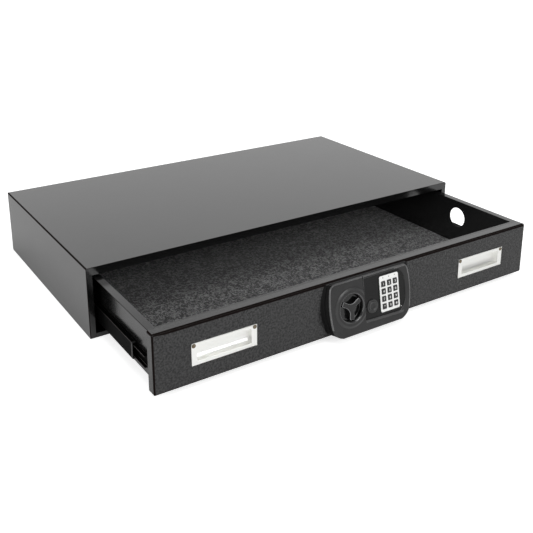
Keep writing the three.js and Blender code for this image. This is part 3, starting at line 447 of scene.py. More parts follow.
housing_black = moulded("satin lock housing", grey(0.015), 0.32, Specular_IOR_Level=0.4)
# A lighter grey for the cover's rim and beside the split: a painted highlight.
edge_highlight_plastic = moulded("housing edge painted highlight", grey(0.09), 0.28, Specular_IOR_Level=0.9)
# A softer lighter grey for the boss, the cap ring and the cap's rim: a painted highlight.
soft_highlight = moulded("soft painted highlight", grey(0.026), 0.32)
# A lighter grey for the swoop under the panel: a painted highlight.
swoop_highlight = moulded("swoop painted highlight", grey(0.05), 0.34)
# A lighter, glossier grey for the recess's lip: a painted highlight.
lip_highlight = moulded("recess lip painted highlight", grey(0.03), 0.16, Specular_IOR_Level=1.0)
# Matte black for the lock base, and inside the split as painted shade.
base_black_and_split_shade = moulded("matte lock base and split painted shade", grey(0.006), 0.6, Specular_IOR_Level=0.1)
# A lighter grey for the base's faces that look up: painted light from above.
base_top_lit_paint = moulded("lock base top painted light", grey(0.024), 0.5, Specular_IOR_Level=0.3)
# A light grey for the rounds on the knob's edges: a painted highlight.
knob_edge_highlight = moulded("knob edge painted highlight", grey(0.17), 0.2)
panel_black = moulded("dark lock panel", grey(0.006), 0.3, Specular_IOR_Level=0.24)
gloss_black = moulded("gloss black", grey(0.005), 0.12, depth=0.00002, variation=0.1)
keypad_white = moulded("white keypad", (0.88, 0.88, 0.87), 0.42, variation=0.02)
key_black = moulded("key black", grey(0.014), 0.42)
print_white = moulded("white print", (0.9, 0.9, 0.89), 0.5, variation=0.02)
mark_brown = moulded("brown mark", (0.09, 0.07, 0.06), 0.4)
lens_pale = moulded("pale lens", (0.45, 0.45, 0.44), 0.18, depth=0.00001)
rubber_black = moulded("black rubber", grey(0.016), 0.62, grain=0.0015, depth=0.0002)
board_green = moulded("solder mask", (0.02, 0.12, 0.05), 0.3)
sleeve_grey = moulded("battery sleeve", (0.1, 0.1, 0.11), 0.35)
lead_red = moulded("red insulation", (0.3, 0.02, 0.02), 0.45)
print("finishes:", len(bpy.data.materials))

# %% [markdown]
# ## Ways of working
# A primitive is added, its faces or edges are picked by where they are, and operators shape it, as
# by hand. An operator acts on all that is selected, so everything is put down before a new start.

# %% Selecting and editing


def put_down():
    """Deselects everything."""
    bpy.ops.object.select_all(action="DESELECT")


def hold(piece):
    """Selects one piece alone and makes it active."""
    put_down()
    piece.select_set(True)
    bpy.context.view_layer.objects.active = piece


def start(kind, name, scale=(1, 1, 1), **settings):
    """Adds a mesh primitive under a name, with its size applied."""
    put_down()
    getattr(bpy.ops.mesh, f"primitive_{kind}_add")(**settings)
    piece = bpy.context.object
    piece.name = name
    piece.scale = scale
    bpy.ops.object.transform_apply(location=True, rotation=True, scale=True)
    return piece


def start_box(name, low, high):
    """A box between two corners in metres."""
    low, high = Vector(low), Vector(high)
    return start("cube", name, size=1, location=(low + high) / 2, scale=high - low)


def start_rod(name, place, radius, length, sides):
    """A cylinder along y, round its middle."""
    return start(
        "cylinder",
        name,
        vertices=sides,
        radius=radius,
        depth=length,
        location=place,
        rotation=(math.pi / 2, 0, 0),
    )


def edit(piece, mode="FACE"):
    """Opens a piece for editing with nothing on it selected."""
    hold(piece)
    bpy.ops.object.mode_set(mode="EDIT")
    bpy.ops.mesh.select_mode(type=mode)
    bpy.ops.mesh.select_all(action="DESELECT")


def edit_all(piece, mode="FACE"):
    """Opens a piece for editing with everything on it selected."""
    edit(piece, mode)
    bpy.ops.mesh.select_all(action="SELECT")


def leave_edit():
    bpy.ops.object.mode_set(mode="OBJECT")


def pick(piece, kind, test):
    """In edit mode, selects the vertices, edges or faces that pass the test, and nothing else."""
    bpy.ops.mesh.select_all(action="DESELECT")
    mesh = bmesh.from_edit_mesh(piece.data)
    count = 0
    for item in getattr(mesh, kind):
        if test(item):
            item.select_set(True)
            count += 1
    bmesh.update_edit_mesh(piece.data)
    return count


def near(value, goal, slack=0.00005):
    return abs(value - goal) < slack


def both_ends(edge, axis, goal):
    """Do both ends of an edge lie on the plane where that axis has that value?"""
    return all(near(vertex.co[axis], goal) for vertex in edge.verts)


def runs_inward(edge):
    """Is an edge parallel to the y axis?"""
    step = edge.verts[1].co - edge.verts[0].co
    return abs(step.y) > 0.99 * step.length


def round_where(piece, test, radius, segments, **settings):
    """Bevels the edges that pass the test."""
    edit(piece, "EDGE")
    count = pick(piece, "edges", test)
    if count:
        bpy.ops.mesh.bevel(offset=radius, segments=segments, affect="EDGES", **settings)
    leave_edit()
    return count


# %% Modifiers


def shape(piece, kind, **settings):
    """Adds a modifier and applies it at once."""
    hold(piece)
    modifier = piece.modifiers.new(kind.lower(), kind)
    for key, value in settings.items():
        setattr(modifier, key, value)
    bpy.ops.object.modifier_apply(modifier=modifier.name)


def round_edges(piece, width, segments=2, angle=40, finish_slot=-1):
    """Softens each edge that is sharper than angle; its faces may take another finish's slot."""
    shape(
        piece,
        "BEVEL",
        width=width,
        segments=segments,
        limit_method="ANGLE",
        angle_limit=math.radians(angle),
        use_clamp_overlap=True,
        miter_outer="MITER_ARC",
        material=finish_slot,
    )


def carve(piece, tool):
    """Cuts a closed tool out of a closed piece and removes the tool."""
    shape(piece, "BOOLEAN", operation="DIFFERENCE", solver="EXACT", object=tool)
    bpy.data.objects.remove(tool)


def outwards(piece):
    """Merges doubles and turns all faces outwards."""
    edit_all(piece, "VERT")
    bpy.ops.mesh.remove_doubles(threshold=0.000001)
    bpy.ops.mesh.normals_make_consistent(inside=False)
    leave_edit()


# %% Copies, moves and joins


def copy_of(piece, name):
    """A second piece with its own mesh."""
    hold(piece)
    bpy.ops.object.duplicate()
    twin = bpy.context.object
    twin.name = name
    return twin


def slide(piece, step):
    """Moves a piece and applies the move, so that its object stays at the origin."""
    hold(piece)
    piece.location = Vector(step)
    bpy.ops.object.transform_apply(location=True, rotation=True, scale=True)


def join(piece, other):
    """Makes another mesh part of this piece."""
    put_down()
    other.select_set(True)
    piece.select_set(True)
    bpy.context.view_layer.objects.active = piece
    bpy.ops.object.join()


# %% Paint and handing over


def paint(piece, *finishes):
    """Gives a piece its finishes; all its faces have the first."""
    piece.data.materials.clear()
    for finish in finishes:
        piece.data.materials.append(finish)


def repaint(piece, test, finish):
    """Gives the faces that pass the test another finish."""
    piece.data.materials.append(finish)
    edit(piece, "FACE")
    count = pick(piece, "faces", test)
    piece.active_material_index = len(piece.data.materials) - 1
    bpy.ops.object.material_slot_assign()
    leave_edit()
    return count


def hand_over(piece, finish, body, stands_for=(), smooth=30):
    """Gives a finished piece its finish and its body, and hides the CAD nodes it stands for.

    A piece that is already painted comes with no finish. The weighted normals keep large flat faces
    flat beside their round edges.
    """
    hold(piece)
    if finish:
        paint(piece, finish)
    bpy.ops.object.shade_smooth_by_angle(angle=math.radians(smooth))
    shape(piece, "WEIGHTED_NORMAL", keep_sharp=True, weight=100)
    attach(piece, body)
    if stands_for:
        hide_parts(*stands_for)


# %% [markdown]
# ## Sheet steel
# The cabinet, the tray and the drawer front are folded from sheet. CAD keeps their corners sharp,
# and real folds are round. A copy of each CAD node is merged and its outer folds are beveled, by
# more than the sheet's thickness where the photograph shows a broad one. What is left is only
# eased. A bevel can take its own finish, so the folds are rounded and painted in one move.

# %% Taking a copy of a CAD node
MERGE = 0.00001


def copy_of_node(node, name):
    """A copy of a CAD node with its loose triangles merged into clean faces."""
    piece = copy_of(nodes[node], name)
    bpy.ops.object.parent_clear(type="CLEAR_KEEP_TRANSFORM")
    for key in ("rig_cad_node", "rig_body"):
        del piece[key]
    edit_all(piece, "VERT")
    bpy.ops.mesh.remove_doubles(threshold=MERGE)
    bpy.ops.mesh.dissolve_limited(angle_limit=math.radians(1))
    leave_edit()
    return piece


def round_folds(piece, planes, radius, segments):
    """Bevels the edges on two of the planes, each an (axis, value), with the second finish, the
    painted fold shade.
    """

    def is_fold(edge):
        return sum(both_ends(edge, axis, value) for axis, value in planes) >= 2

    return round_where(piece, is_fold, radius, segments, material=1)


def outer_planes(node, sides):
    """The planes of a node's box, for sides such as "-x +x -y +z"."""
    low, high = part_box(node)
    planes = []
    for side in sides.split():
        axis = "xyz".index(side[1])
        planes.append((axis, (low if side[0] == "-" else high)[axis]))
    return planes


# %% Cabinet
FOLD = 2.8 * MM
FRONT_FOLD = 1.8 * MM
EASE = 0.35 * MM

shell = copy_of_node("cabinet_shell", "cabinet_wrap")
# The second finish paints shade along the folds.
paint(shell, cabinet_enamel, fold_shade_paint)
folds = round_folds(shell, outer_planes("cabinet_shell", "-x +x +z"), FOLD, 5)
folds += round_folds(shell, outer_planes("cabinet_shell", "-x +x -y +z"), FRONT_FOLD, 3)
round_edges(shell, EASE)
hand_over(shell, None, "cabinet", ["cabinet_shell"])
print("cabinet wrap:", folds, "folds,", len(shell.data.polygons), "faces")

for node in ("cabinet_floor", "cabinet_back", "slide_bracket_left", "slide_bracket_right"):
    plate = copy_of_node(node, node + "_plate")
    round_edges(plate, EASE)
    hand_over(plate, cabinet_enamel, "cabinet", [node])

# %% [markdown]
# The drawer front's top fold is broad, and its face has the pulls' cut-outs in it. A bevel slides
# along the faces beside it, and here it would slide into the cut-outs and leave streaks. So the
# face is first cut level just below the fold, and the bevel stops there.

# %% Drawer front
PAN_FOLD = 3 * MM
PAN_TOP_FOLD = 5.4 * MM
BELOW_FOLD = 0.6 * MM

pan = copy_of_node("drawer_front", "drawer_pan")
# The second finish paints shade along the folds.
paint(pan, drawer_enamel, fold_shade_paint)
pan_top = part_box("drawer_front")[1].z
edit_all(pan)
bpy.ops.mesh.bisect(plane_co=(0, 0, pan_top - PAN_TOP_FOLD - BELOW_FOLD), plane_no=(0, 0, 1))
leave_edit()
folds = round_folds(pan, outer_planes("drawer_front", "-y +z"), PAN_TOP_FOLD, 6)
folds += round_folds(pan, outer_planes("drawer_front", "-x +x -y -z +z"), PAN_FOLD, 4)
round_edges(pan, EASE)
hand_over(pan, None, "drawer", ["drawer_front"])
ledge_count = repaint(pan, lambda face: near(face.calc_center_median().z, pan_top), ledge_enamel)
print("drawer front:", folds, "folds,", ledge_count, "faces on its ledge")

# %% Tray
TRAY_EASE = 0.5 * MM
FLANGE_EDGE = 0.2 * MM

tray = copy_of_node("drawer_tray", "drawer_box")
round_edges(tray, TRAY_EASE)
hand_over(tray, tray_enamel, "drawer", ["drawer_tray"])
# The flanges' outer edges take the dark fold finish: a thin painted line of shade.
flange_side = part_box("drawer_tray")[1].x - FLANGE_EDGE
edge_count = repaint(tray, lambda face: abs(face.calc_center_median().x) > flange_side, fold_shade_paint)
print("tray:", edge_count, "faces on its flanges' edges")

# %% [markdown]
# ## Slides
# Each slide is three rolled channels, black zinc, with rubber on the front ends of the middle ones.
# The lips of a rolled channel are round, so their edges get a wider bevel than a cut plate's, and
# the bevels take a lighter zinc, a painted highlight. Their sections come from CAD, because the
# balls have to fit them.

# %% Slides
SLIDE_EASE = 0.45 * MM
BUMPER_ROUND = 1.4 * MM
SLIDE_BODIES = {
    "cabinet_slide_member_left": "cabinet",
    "cabinet_slide_member_right": "cabinet",
    "middle_slide_member_left": "middle_left",
    "middle_slide_member_right": "middle_right",
    "drawer_slide_member_left": "drawer",
    "drawer_slide_member_right": "drawer",
}

for node, body in SLIDE_BODIES.items():
    member = copy_of_node(node, node + "_rolled")
    paint(member, black_zinc, zinc_edge_highlight)
    # The bevel faces take the second finish, a lighter zinc: a painted highlight along the edges.
    round_edges(member, SLIDE_EASE, segments=3, finish_slot=1)
    hand_over(member, None, body, [node])

for word in ("left", "right"):
    node = f"slide_bumper_{word}"
    bumper = copy_of_node(node, node + "_moulded")
    round_edges(bumper, BUMPER_ROUND, segments=4)
    hand_over(bumper, rubber_black, f"middle_{word}", [node])
print("slide members:", len(SLIDE_BODIES))

# %% [markdown]
# ## Felt
# The liner is one sheet of needled felt, cut to the tray's floor and laid in. A grid of small faces
# gets a slow, shallow unevenness, then a thickness, and its cut rim is rounded. It is laid on the
# tray, at its flat size. A cloth simulation would change nothing on a flat floor, so the sheet is
# shaped by hand.

# %% Felt liner
FELT_SHEET = 1.9 * MM
FELT_WAVE = 0.5 * MM
FELT_WAVE_LONG = 0.045
FELT_RIM = 0.6 * MM

felt_low, felt_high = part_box("felt_liner")
felt_size = felt_high - felt_low
felt = start(
    "grid",
    "felt_sheet",
    x_subdivisions=210,
    y_subdivisions=94,
    size=1,
    location=(
        (felt_low.x + felt_high.x) / 2,
        (felt_low.y + felt_high.y) / 2,
        felt_high.z - FELT_WAVE / 2,
    ),
    scale=(felt_size.x, felt_size.y, 1),
)
felt_waves = bpy.data.textures.new("felt waves", "CLOUDS")
felt_waves.noise_scale = FELT_WAVE_LONG
shape(
    felt,
    "DISPLACE",
    texture=felt_waves,
    texture_coords="LOCAL",
    direction="Z",
    strength=FELT_WAVE,
    mid_level=0.5,
)
shape(felt, "SOLIDIFY", thickness=FELT_SHEET, offset=-1)
round_edges(felt, FELT_RIM, segments=2, angle=60)
hand_over(felt, felt_charcoal, "drawer", ["felt_liner"])
print("felt:", round(felt_size.x, 4), "by", round(felt_size.y, 4), "m")

# %% [markdown]
# ## Recessed pulls
# Each pull is pressed from one sheet of nickel-plated metal: a flat flange round a scoop whose
# floor curves up into its back, so fingers slide in. The scoop's section is drawn point by point
# and pulled along its length, its ends are closed, the flange is joined to it, and the sheet gets
# its thickness.

# %% The scoop
SCOOP_WIDTH = 118.4 * MM
SCOOP_HEIGHT = 30.4 * MM
SCOOP_DEPTH = 13.2 * MM
SCOOP_BELLY = 0.9
SCOOP_STEPS = 14

pull_low, pull_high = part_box("handle_left")
pull_middle = (pull_low + pull_high) / 2
pull_width = pull_high.x - pull_low.x
pull_height = pull_high.z - pull_low.z


def scoop_point(share):
    """The floor's curve: 0 at the lip, 1 where it has turned into the upright back."""
    y = 2 * share * (1 - share) * SCOOP_BELLY * SCOOP_DEPTH + share**2 * SCOOP_DEPTH
    z = share**2 * SCOOP_HEIGHT / 2
    return (pull_low.y + y, pull_middle.z - SCOOP_HEIGHT / 2 + z)


section = [scoop_point(step / SCOOP_STEPS) for step in range(SCOOP_STEPS + 1)]
section.append((pull_low.y + SCOOP_DEPTH, pull_middle.z + SCOOP_HEIGHT / 2))
section.append((pull_low.y, pull_middle.z + SCOOP_HEIGHT / 2))

pull = start("plane", "pull_left", size=1)
edit_all(pull, "VERT")
bpy.ops.mesh.merge(type="CENTER")
bpy.ops.transform.translate(value=(pull_middle.x - SCOOP_WIDTH / 2, *section[0]))
for (y, z), (next_y, next_z) in zip(section, section[1:]):
    step = (0, next_y - y, next_z - z)
    bpy.ops.mesh.extrude_vertices_move(TRANSFORM_OT_translate={"value": step})
bpy.ops.mesh.select_all(action="SELECT")
bpy.ops.mesh.extrude_edges_move(TRANSFORM_OT_translate={"value": (SCOOP_WIDTH, 0, 0)})
for side in (-1, 1):
    end_x = pull_middle.x + side * SCOOP_WIDTH / 2
    pick(pull, "verts", lambda vertex: near(vertex.co.x, end_x))
    bpy.ops.mesh.edge_face_add()
leave_edit()
print("scoop:", len(pull.data.polygons), "faces")

# %% Flange
PULL_CORNER = 2 * MM

flange = start(
    "plane",
    "pull_flange",
    size=1,
    location=(pull_middle.x, pull_low.y, pull_middle.z),
    rotation=(math.pi / 2, 0, 0),
    scale=(pull_width, pull_height, 1),
)
edit_all(flange)
bpy.ops.mesh.inset(thickness=(pull_height - SCOOP_HEIGHT) / 2)
mouth_width = pull_width - (pull_height - SCOOP_HEIGHT)
bpy.ops.transform.resize(value=(SCOOP_WIDTH / mouth_width, 1, 1), center_override=pull_middle)
bpy.ops.mesh.delete(type="FACE")
leave_edit()
edit(flange, "VERT")
pick(flange, "verts", lambda vertex: near(abs(vertex.co.x - pull_middle.x), pull_width / 2))
bpy.ops.mesh.bevel(offset=PULL_CORNER, segments=5, affect="VERTICES")
leave_edit()

join(pull, flange)
outwards(pull)

# %% Rounding the mouth
MOUTH_ROUND = 3.4 * MM


def at_mouth(edge):
    """The mouth's rim, and the corners where the scoop's ends meet its floor, back and ceiling."""
    at_end = [near(abs(vertex.co.x - pull_middle.x), SCOOP_WIDTH / 2) for vertex in edge.verts]
    at_lip = [near(abs(vertex.co.z - pull_middle.z), SCOOP_HEIGHT / 2) for vertex in edge.verts]
    on_front = both_ends(edge, 1, pull_low.y)
    return (on_front and (all(at_end) or all(at_lip))) or (all(at_end) and not on_front)


rounded = round_where(pull, at_mouth, MOUTH_ROUND, 5, clamp_overlap=True)
print("pull:", rounded, "edges rounded at its mouth and ends")

# %% Thickness and the second pull
PULL_SHEET = 1.2 * MM
PULL_EASE = 0.55 * MM

flange_face = min(pull.data.polygons, key=lambda face: face.center.y)
if flange_face.normal.y > 0:
    edit_all(pull)
    bpy.ops.mesh.flip_normals()
    leave_edit()
shape(pull, "SOLIDIFY", thickness=PULL_SHEET, offset=-1)
outwards(pull)
round_edges(pull, PULL_EASE, segments=3, angle=35)

pull_right = copy_of(pull, "pull_right")
slide(pull_right, (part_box("handle_right")[0].x - pull_low.x, 0, 0))
hand_over(pull, nickel, "drawer", ["handle_left"], smooth=40)
hand_over(pull_right, nickel, "drawer", ["handle_right"], smooth=40)

# %% [markdown]
# ## Screws
# A small pan-head screw with a cross recess sits in each upper corner of a pull, on a thin brown
# washer. The head starts as a short cylinder whose front edge is beveled to a dome, and two thin
# boxes cut the cross.

# %% Screw
HEAD_RADIUS = 3.2 * MM
HEAD_HEIGHT = 1.4 * MM
HEAD_DOME = 0.9 * MM
SHANK_RADIUS = 1.45 * MM
CROSS_LENGTH = 3.6 * MM
CROSS_WIDTH = 0.8 * MM
CROSS_DEPTH = 0.9 * MM


def make_screw(name, node):
    """A pan head with a cross recess, on a plain shank, at a CAD screw's place."""
    low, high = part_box(node)
    x, z = (low.x + high.x) / 2, (low.z + high.z) / 2
    head = start_rod(name, (x, low.y + HEAD_HEIGHT / 2, z), HEAD_RADIUS, HEAD_HEIGHT, 28)
    round_where(head, lambda edge: both_ends(edge, 1, low.y), HEAD_DOME, 4)
    for wide, high_side in ((CROSS_LENGTH, CROSS_WIDTH), (CROSS_WIDTH, CROSS_LENGTH)):
        blade = start_box(
            "blade",
            (x - wide / 2, low.y - CROSS_DEPTH, z - high_side / 2),
            (x + wide / 2, low.y + CROSS_DEPTH, z + high_side / 2),
        )
        carve(head, blade)
    shank_place = (x, (low.y + HEAD_HEIGHT + high.y) / 2, z)
    shank_length = high.y - low.y - HEAD_HEIGHT
    join(head, start_rod(name + "_shank", shank_place, SHANK_RADIUS, shank_length, 14))
    return head


# %% Washer, and four of each
WASHER_RADIUS = 4.2 * MM
WASHER_HEIGHT = 0.35 * MM
WASHER_PLAY = 0.05 * MM


def make_washer(name, node):
    """A thin washer round a screw's head, which stands on the pull's flange."""
    low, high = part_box(node)
    place = ((low.x + high.x) / 2, pull_low.y - WASHER_HEIGHT / 2, (low.z + high.z) / 2)
    washer = start_rod(name, place, WASHER_RADIUS, WASHER_HEIGHT, 28)
    carve(washer, start_rod("hole", place, HEAD_RADIUS + WASHER_PLAY, 2 * WASHER_HEIGHT, 28))
    return washer


for word in ("left", "right"):
    for number in (1, 2):
        node = f"handle_screw_{word}_{number}"
        screw = make_screw(f"pull_screw_{word}_{number}", node)
        hand_over(screw, screw_bronze, "drawer", [node], smooth=35)
        washer = make_washer(f"pull_washer_{word}_{number}", node)
        hand_over(washer, washer_brown, "drawer", smooth=35)
        print(screw.name, len(screw.data.polygons), "faces")

# %% [markdown]
# ## The lock's own frame
# The lock face leans back by about nine and a half degrees. Its pieces are modelled upright at the
# origin, with x across, z up the face and y inwards, and are then laid on the slope in one move.
# They could be modelled in place, but then no number in them would be plain.

# %% Laying a piece on the lock
LOCK_TILT = math.atan(20 / 119)
LOCK_PLACE = Vector((0, -0.5805, 0.0745))


def lay_on_lock(piece):
    """Moves a piece from the origin to the lock's face and applies the move."""
    hold(piece)
    piece.location = LOCK_PLACE
    piece.rotation_euler = (-LOCK_TILT, 0, 0)
    bpy.ops.object.transform_apply(location=True, rotation=True, scale=True)
    return piece


# %% [markdown]
# ## Lock base
# The base is a hollow wedge that brings the lock forward from the drawer. On the real one its
# flank has a step, which shows as two dark bands on the left. The CAD wedge is cut round at three
# depths between the drawer's face and the cover, and the middle cut is drawn in to make a groove.

# %% Lock base
WEDGE_HINGE = Vector((0, -0.5595, 0.174))
GROOVE_SHARES = (0.44, 0.52, 0.6)
GROOVE_SCALE = 0.965
WEDGE_EASE = 0.5 * MM


def wedge_plane(share):
    """The normal of a plane part of the way from the drawer's face to the cover's back."""
    tilt = LOCK_TILT * share
    return Vector((0, math.cos(tilt), -math.sin(tilt)))


base = copy_of_node("lock_base", "lock_wedge")
for share in GROOVE_SHARES:
    edit_all(base)
    bpy.ops.mesh.bisect(plane_co=WEDGE_HINGE, plane_no=wedge_plane(share))
    leave_edit()

base_low, base_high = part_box("lock_base")
base_middle = (base_low + base_high) / 2
groove_plane = wedge_plane(GROOVE_SHARES[1])


def in_groove(vertex):
    return abs((vertex.co - WEDGE_HINGE).dot(groove_plane)) < 0.00002


edit(base, "VERT")
groove_count = pick(base, "verts", in_groove)
bpy.ops.transform.resize(value=(GROOVE_SCALE, 1, GROOVE_SCALE), center_override=base_middle)
leave_edit()
round_edges(base, WEDGE_EASE, segments=2, angle=30)
hand_over(base, base_black_and_split_shade, "drawer", ["lock_base"], smooth=35)
# Faces that look up take a lighter grey: painted light from above.
repaint(base, lambda face: face.normal.z > 0.7, base_top_lit_paint)
print("lock base:", groove_count, "points in its groove")

# %% [markdown]
# ## Lock cover
# The cover is a soft moulding: its rim is round, a broad boss swells round the knob, and the part
# behind the keypad is let in, with a sharp split at its left and a slow swoop under it. Such a
# form is sculpted: a fine grid is drawn to the outline and each point is set in or out by a few
# smooth rules. Its rim is then drawn back, its back closed, and the crisp pockets are cut with
# tools.

# %% The cover's outline
COVER_HALF = 109 * MM
COVER_HIGH = 119 / 2 / math.cos(LOCK_TILT) * MM
HEAD_HALF = 103 * MM
FOOT_HALF = 98 * MM
HEAD_CORNER = 12 * MM
FOOT_CORNER = 25 * MM


def side_at(z):
    """How far the cover's side is from its middle line at height z, without its corners."""
    share = (z + COVER_HIGH) / (2 * COVER_HIGH)
    straight = FOOT_HALF + (HEAD_HALF - FOOT_HALF) * share
    bow = COVER_HALF - (FOOT_HALF + HEAD_HALF) / 2
    return straight + bow * (1 - (2 * share - 1) ** 2)


def half_at(z):
    """The same with the corners rounded."""
    side = side_at(z)
    for corner, edge in ((HEAD_CORNER, COVER_HIGH - z), (FOOT_CORNER, COVER_HIGH + z)):
        if edge < corner:
            side -= corner - math.sqrt(corner**2 - (corner - max(edge, 0)) ** 2)
    return side


# %% The cover's relief
KNOB_X = -54 * MM
KNOB_Z = 0.8 * MM
BOSS_TOP = 38 * MM
BOSS_FOOT = 45 * MM
BOSS_PROUD = 2 * MM
BOSS_FADE = 8 * MM
RIM = 3.8 * MM
RIM_MOST = 3.4 * MM
PANEL_LEFT = -18.5 * MM
PANEL_LEFT_STEP = 0.8 * MM
PANEL_TOP = 55 * MM
PANEL_TOP_STEP = 1.4 * MM
PANEL_FLOOR = -37.5 * MM
PANEL_FLOOR_FALL = 0.03
SWOOP_HALF = 3.5 * MM
PANEL_DEPTH = 1.8 * MM
PANEL_CORNER = 24 * MM
PANEL_MARGIN = 17 * MM
PANEL_MARGIN_STEP = 2.2 * MM


def smooth(low, high, value):
    """0 below low, 1 above high, and an even curve between."""
    share = min(1.0, max(0.0, (value - low) / (high - low)))
    return share * share * (3 - 2 * share)


def panel_floor(x):
    """The height of the swoop under the panel."""
    return PANEL_FLOOR - PANEL_FLOOR_FALL * x


def panel_share(x, z):
    """1 on the part that is let in behind the keypad, 0 off it."""
    share = smooth(PANEL_LEFT - PANEL_LEFT_STEP, PANEL_LEFT, x)
    share *= smooth(-SWOOP_HALF, SWOOP_HALF, z - panel_floor(x))
    share *= 1 - smooth(PANEL_TOP - PANEL_TOP_STEP, PANEL_TOP, z)
    top_corner = PANEL_CORNER - min(PANEL_CORNER, max(0.0, PANEL_TOP - z))
    foot_corner = PANEL_CORNER - min(PANEL_CORNER, max(0.0, z - panel_floor(x)))
    right_gap = side_at(z) - (top_corner**2 + foot_corner**2) / (2 * PANEL_CORNER) - x
    return share * smooth(PANEL_MARGIN - PANEL_MARGIN_STEP, PANEL_MARGIN, right_gap)


def relief(x, z):
    """How far in from the cover's face a point lies."""
    edge = min(half_at(z) - abs(x), COVER_HIGH - abs(z))
    rim = 0.0
    if edge < RIM:
        rim = RIM - math.sqrt(max(0.0, RIM**2 - (RIM - max(edge, 0)) ** 2))
    reach = math.hypot(x - KNOB_X, z - KNOB_Z)
    panel = panel_share(x, z)
    boss = BOSS_PROUD * (1 - smooth(BOSS_TOP, BOSS_FOOT, reach)) * smooth(0, BOSS_FADE, edge)
    return min(rim, RIM_MOST) - boss * (1 - panel) + PANEL_DEPTH * panel


# %% Sculpting the cover
COLUMNS = 262
ROWS = 146
COVER_THICK = 4 * MM
STILL_HALF = 66 * MM  # the columns inside this are not drawn in at the corners

cover = start(
    "grid",
    "lock_face",
    x_subdivisions=COLUMNS,
    y_subdivisions=ROWS,
    size=1,
    rotation=(math.pi / 2, 0, 0),
    scale=(2 * COVER_HALF, 2 * COVER_HIGH, 1),
)
for vertex in cover.data.vertices:
    x, z = vertex.co.x, vertex.co.z
    if abs(x) > STILL_HALF:
        share = (abs(x) - STILL_HALF) / (COVER_HALF - STILL_HALF)
        x = math.copysign(STILL_HALF + share * (half_at(z) - STILL_HALF), x)
    vertex.co = (x, relief(x, z), z)

edit_all(cover, "EDGE")
bpy.ops.mesh.region_to_loop()
bpy.ops.mesh.extrude_edges_move(TRANSFORM_OT_translate={"value": (0, COVER_THICK, 0)})
bpy.ops.transform.resize(value=(1, 0, 1), center_override=(0, COVER_THICK, 0))
bpy.ops.mesh.edge_face_add()
leave_edit()
outwards(cover)
print("cover:", len(cover.data.polygons), "faces")

# %% Pockets in the cover
RECESS = 32 * MM
CAP_X = 1 * MM
CAP_Z = -10 * MM
CAP_HOLE = 11.1 * MM
KEYPAD_X = 48.7 * MM
KEYPAD_Z = 9 * MM
KEYPAD_WIDE = 52 * MM
KEYPAD_HIGH = 79 * MM
KEYPAD_CORNER = 4 * MM
POCKET_PLAY = 0.4 * MM
TOOL_LONG = 40 * MM
TOOL_HALF = 10 * MM


def keypad_block(name, front, back, play=0.0):
    """A block at the keypad's place, with round corners and some play all round."""
    block = start_box(
        name,
        (KEYPAD_X - KEYPAD_WIDE / 2 - play, front, KEYPAD_Z - KEYPAD_HIGH / 2 - play),
        (KEYPAD_X + KEYPAD_WIDE / 2 + play, back, KEYPAD_Z + KEYPAD_HIGH / 2 + play),
    )
    round_where(block, runs_inward, KEYPAD_CORNER, 6)
    return block


carve(cover, start_rod("tool", (KNOB_X, 0, KNOB_Z), RECESS, TOOL_LONG, 96))
carve(cover, start_rod("tool", (CAP_X, 0, CAP_Z), CAP_HOLE, TOOL_LONG, 64))
carve(cover, keypad_block("tool", -TOOL_HALF, TOOL_HALF, POCKET_PLAY))

# %% The split beside the panel
SPLIT_WIDE = 2.4 * MM
SPLIT_DEEP = 2.4 * MM
SPLIT_GAP = 0.1 * MM
SPLIT_FOOT = -8 * MM

split_tool = start_box(
    "tool",
    (PANEL_LEFT - SPLIT_WIDE, -4 * MM, SPLIT_FOOT),
    (PANEL_LEFT - SPLIT_GAP, SPLIT_DEEP, COVER_HIGH + 1 * MM),
)
carve(cover, split_tool)
lay_on_lock(cover)
hand_over(cover, housing_black, "drawer", ["lock_cover"], smooth=40)

# %% [markdown]
# ### Painted highlights and painted shade on the cover
# Thin highlights run along the cover's rim, beside the split, round the boss and on the swoop. They
# are painted highlights: lighter plastic on the faces at those places, so they stay where they are
# from every side. The inside of the split is painted matte black as painted shade, and the panel
# behind the keypad takes a darker plastic. The lock leans, so a face's middle is first taken back
# to the upright frame in which the cover was made, and the tests below read plain x, depth and z.

# %% Where a face lies on the lock
lock_place = Matrix.Translation(LOCK_PLACE) @ Matrix.Rotation(-LOCK_TILT, 4, "X")
from_lock = lock_place.inverted()


def lock_test(test):
    """A test of a face by where its middle is on the lock: x, depth and z."""
    return lambda face: test(*(from_lock @ face.calc_center_median()))


# %% The places
RIM_HIGHLIGHT_WIDTH = 2.4 * MM
RIM_HIGHLIGHT_RIGHT = 4.4 * MM
SWOOP_WIDE = 5 * MM
SPLIT_LIGHT = 1.4 * MM


def on_panel(x, y, z):
    return panel_share(x, z) > 0.6


def on_boss(x, y, z):
    """The boss's slope, where it isn't let in."""
    reach = math.hypot(x - KNOB_X, z - KNOB_Z)
    return BOSS_TOP < reach < BOSS_FOOT - 2 * MM and y < 1 * MM and panel_share(x, z) < 0.1


def on_swoop(x, y, z):
    """The soft slope under the panel, and where it turns up at the right."""
    under = -SWOOP_WIDE < z - panel_floor(x) < 0 and half_at(z) - x > PANEL_MARGIN
    turn = z < PANEL_CORNER + panel_floor(x) and 0.02 < panel_share(x, z) < 0.5
    return PANEL_LEFT < x and y < 2.5 * MM and (under or turn)


def beside_split(x, y, z):
    return PANEL_LEFT < x < PANEL_LEFT + SPLIT_LIGHT and z > SPLIT_FOOT and y < SPLIT_DEEP


def in_split(x, y, z):
    from_left = PANEL_LEFT - SPLIT_WIDE - SPLIT_GAP
    return from_left < x < PANEL_LEFT and z > SPLIT_FOOT and 0 < y < 3 * MM


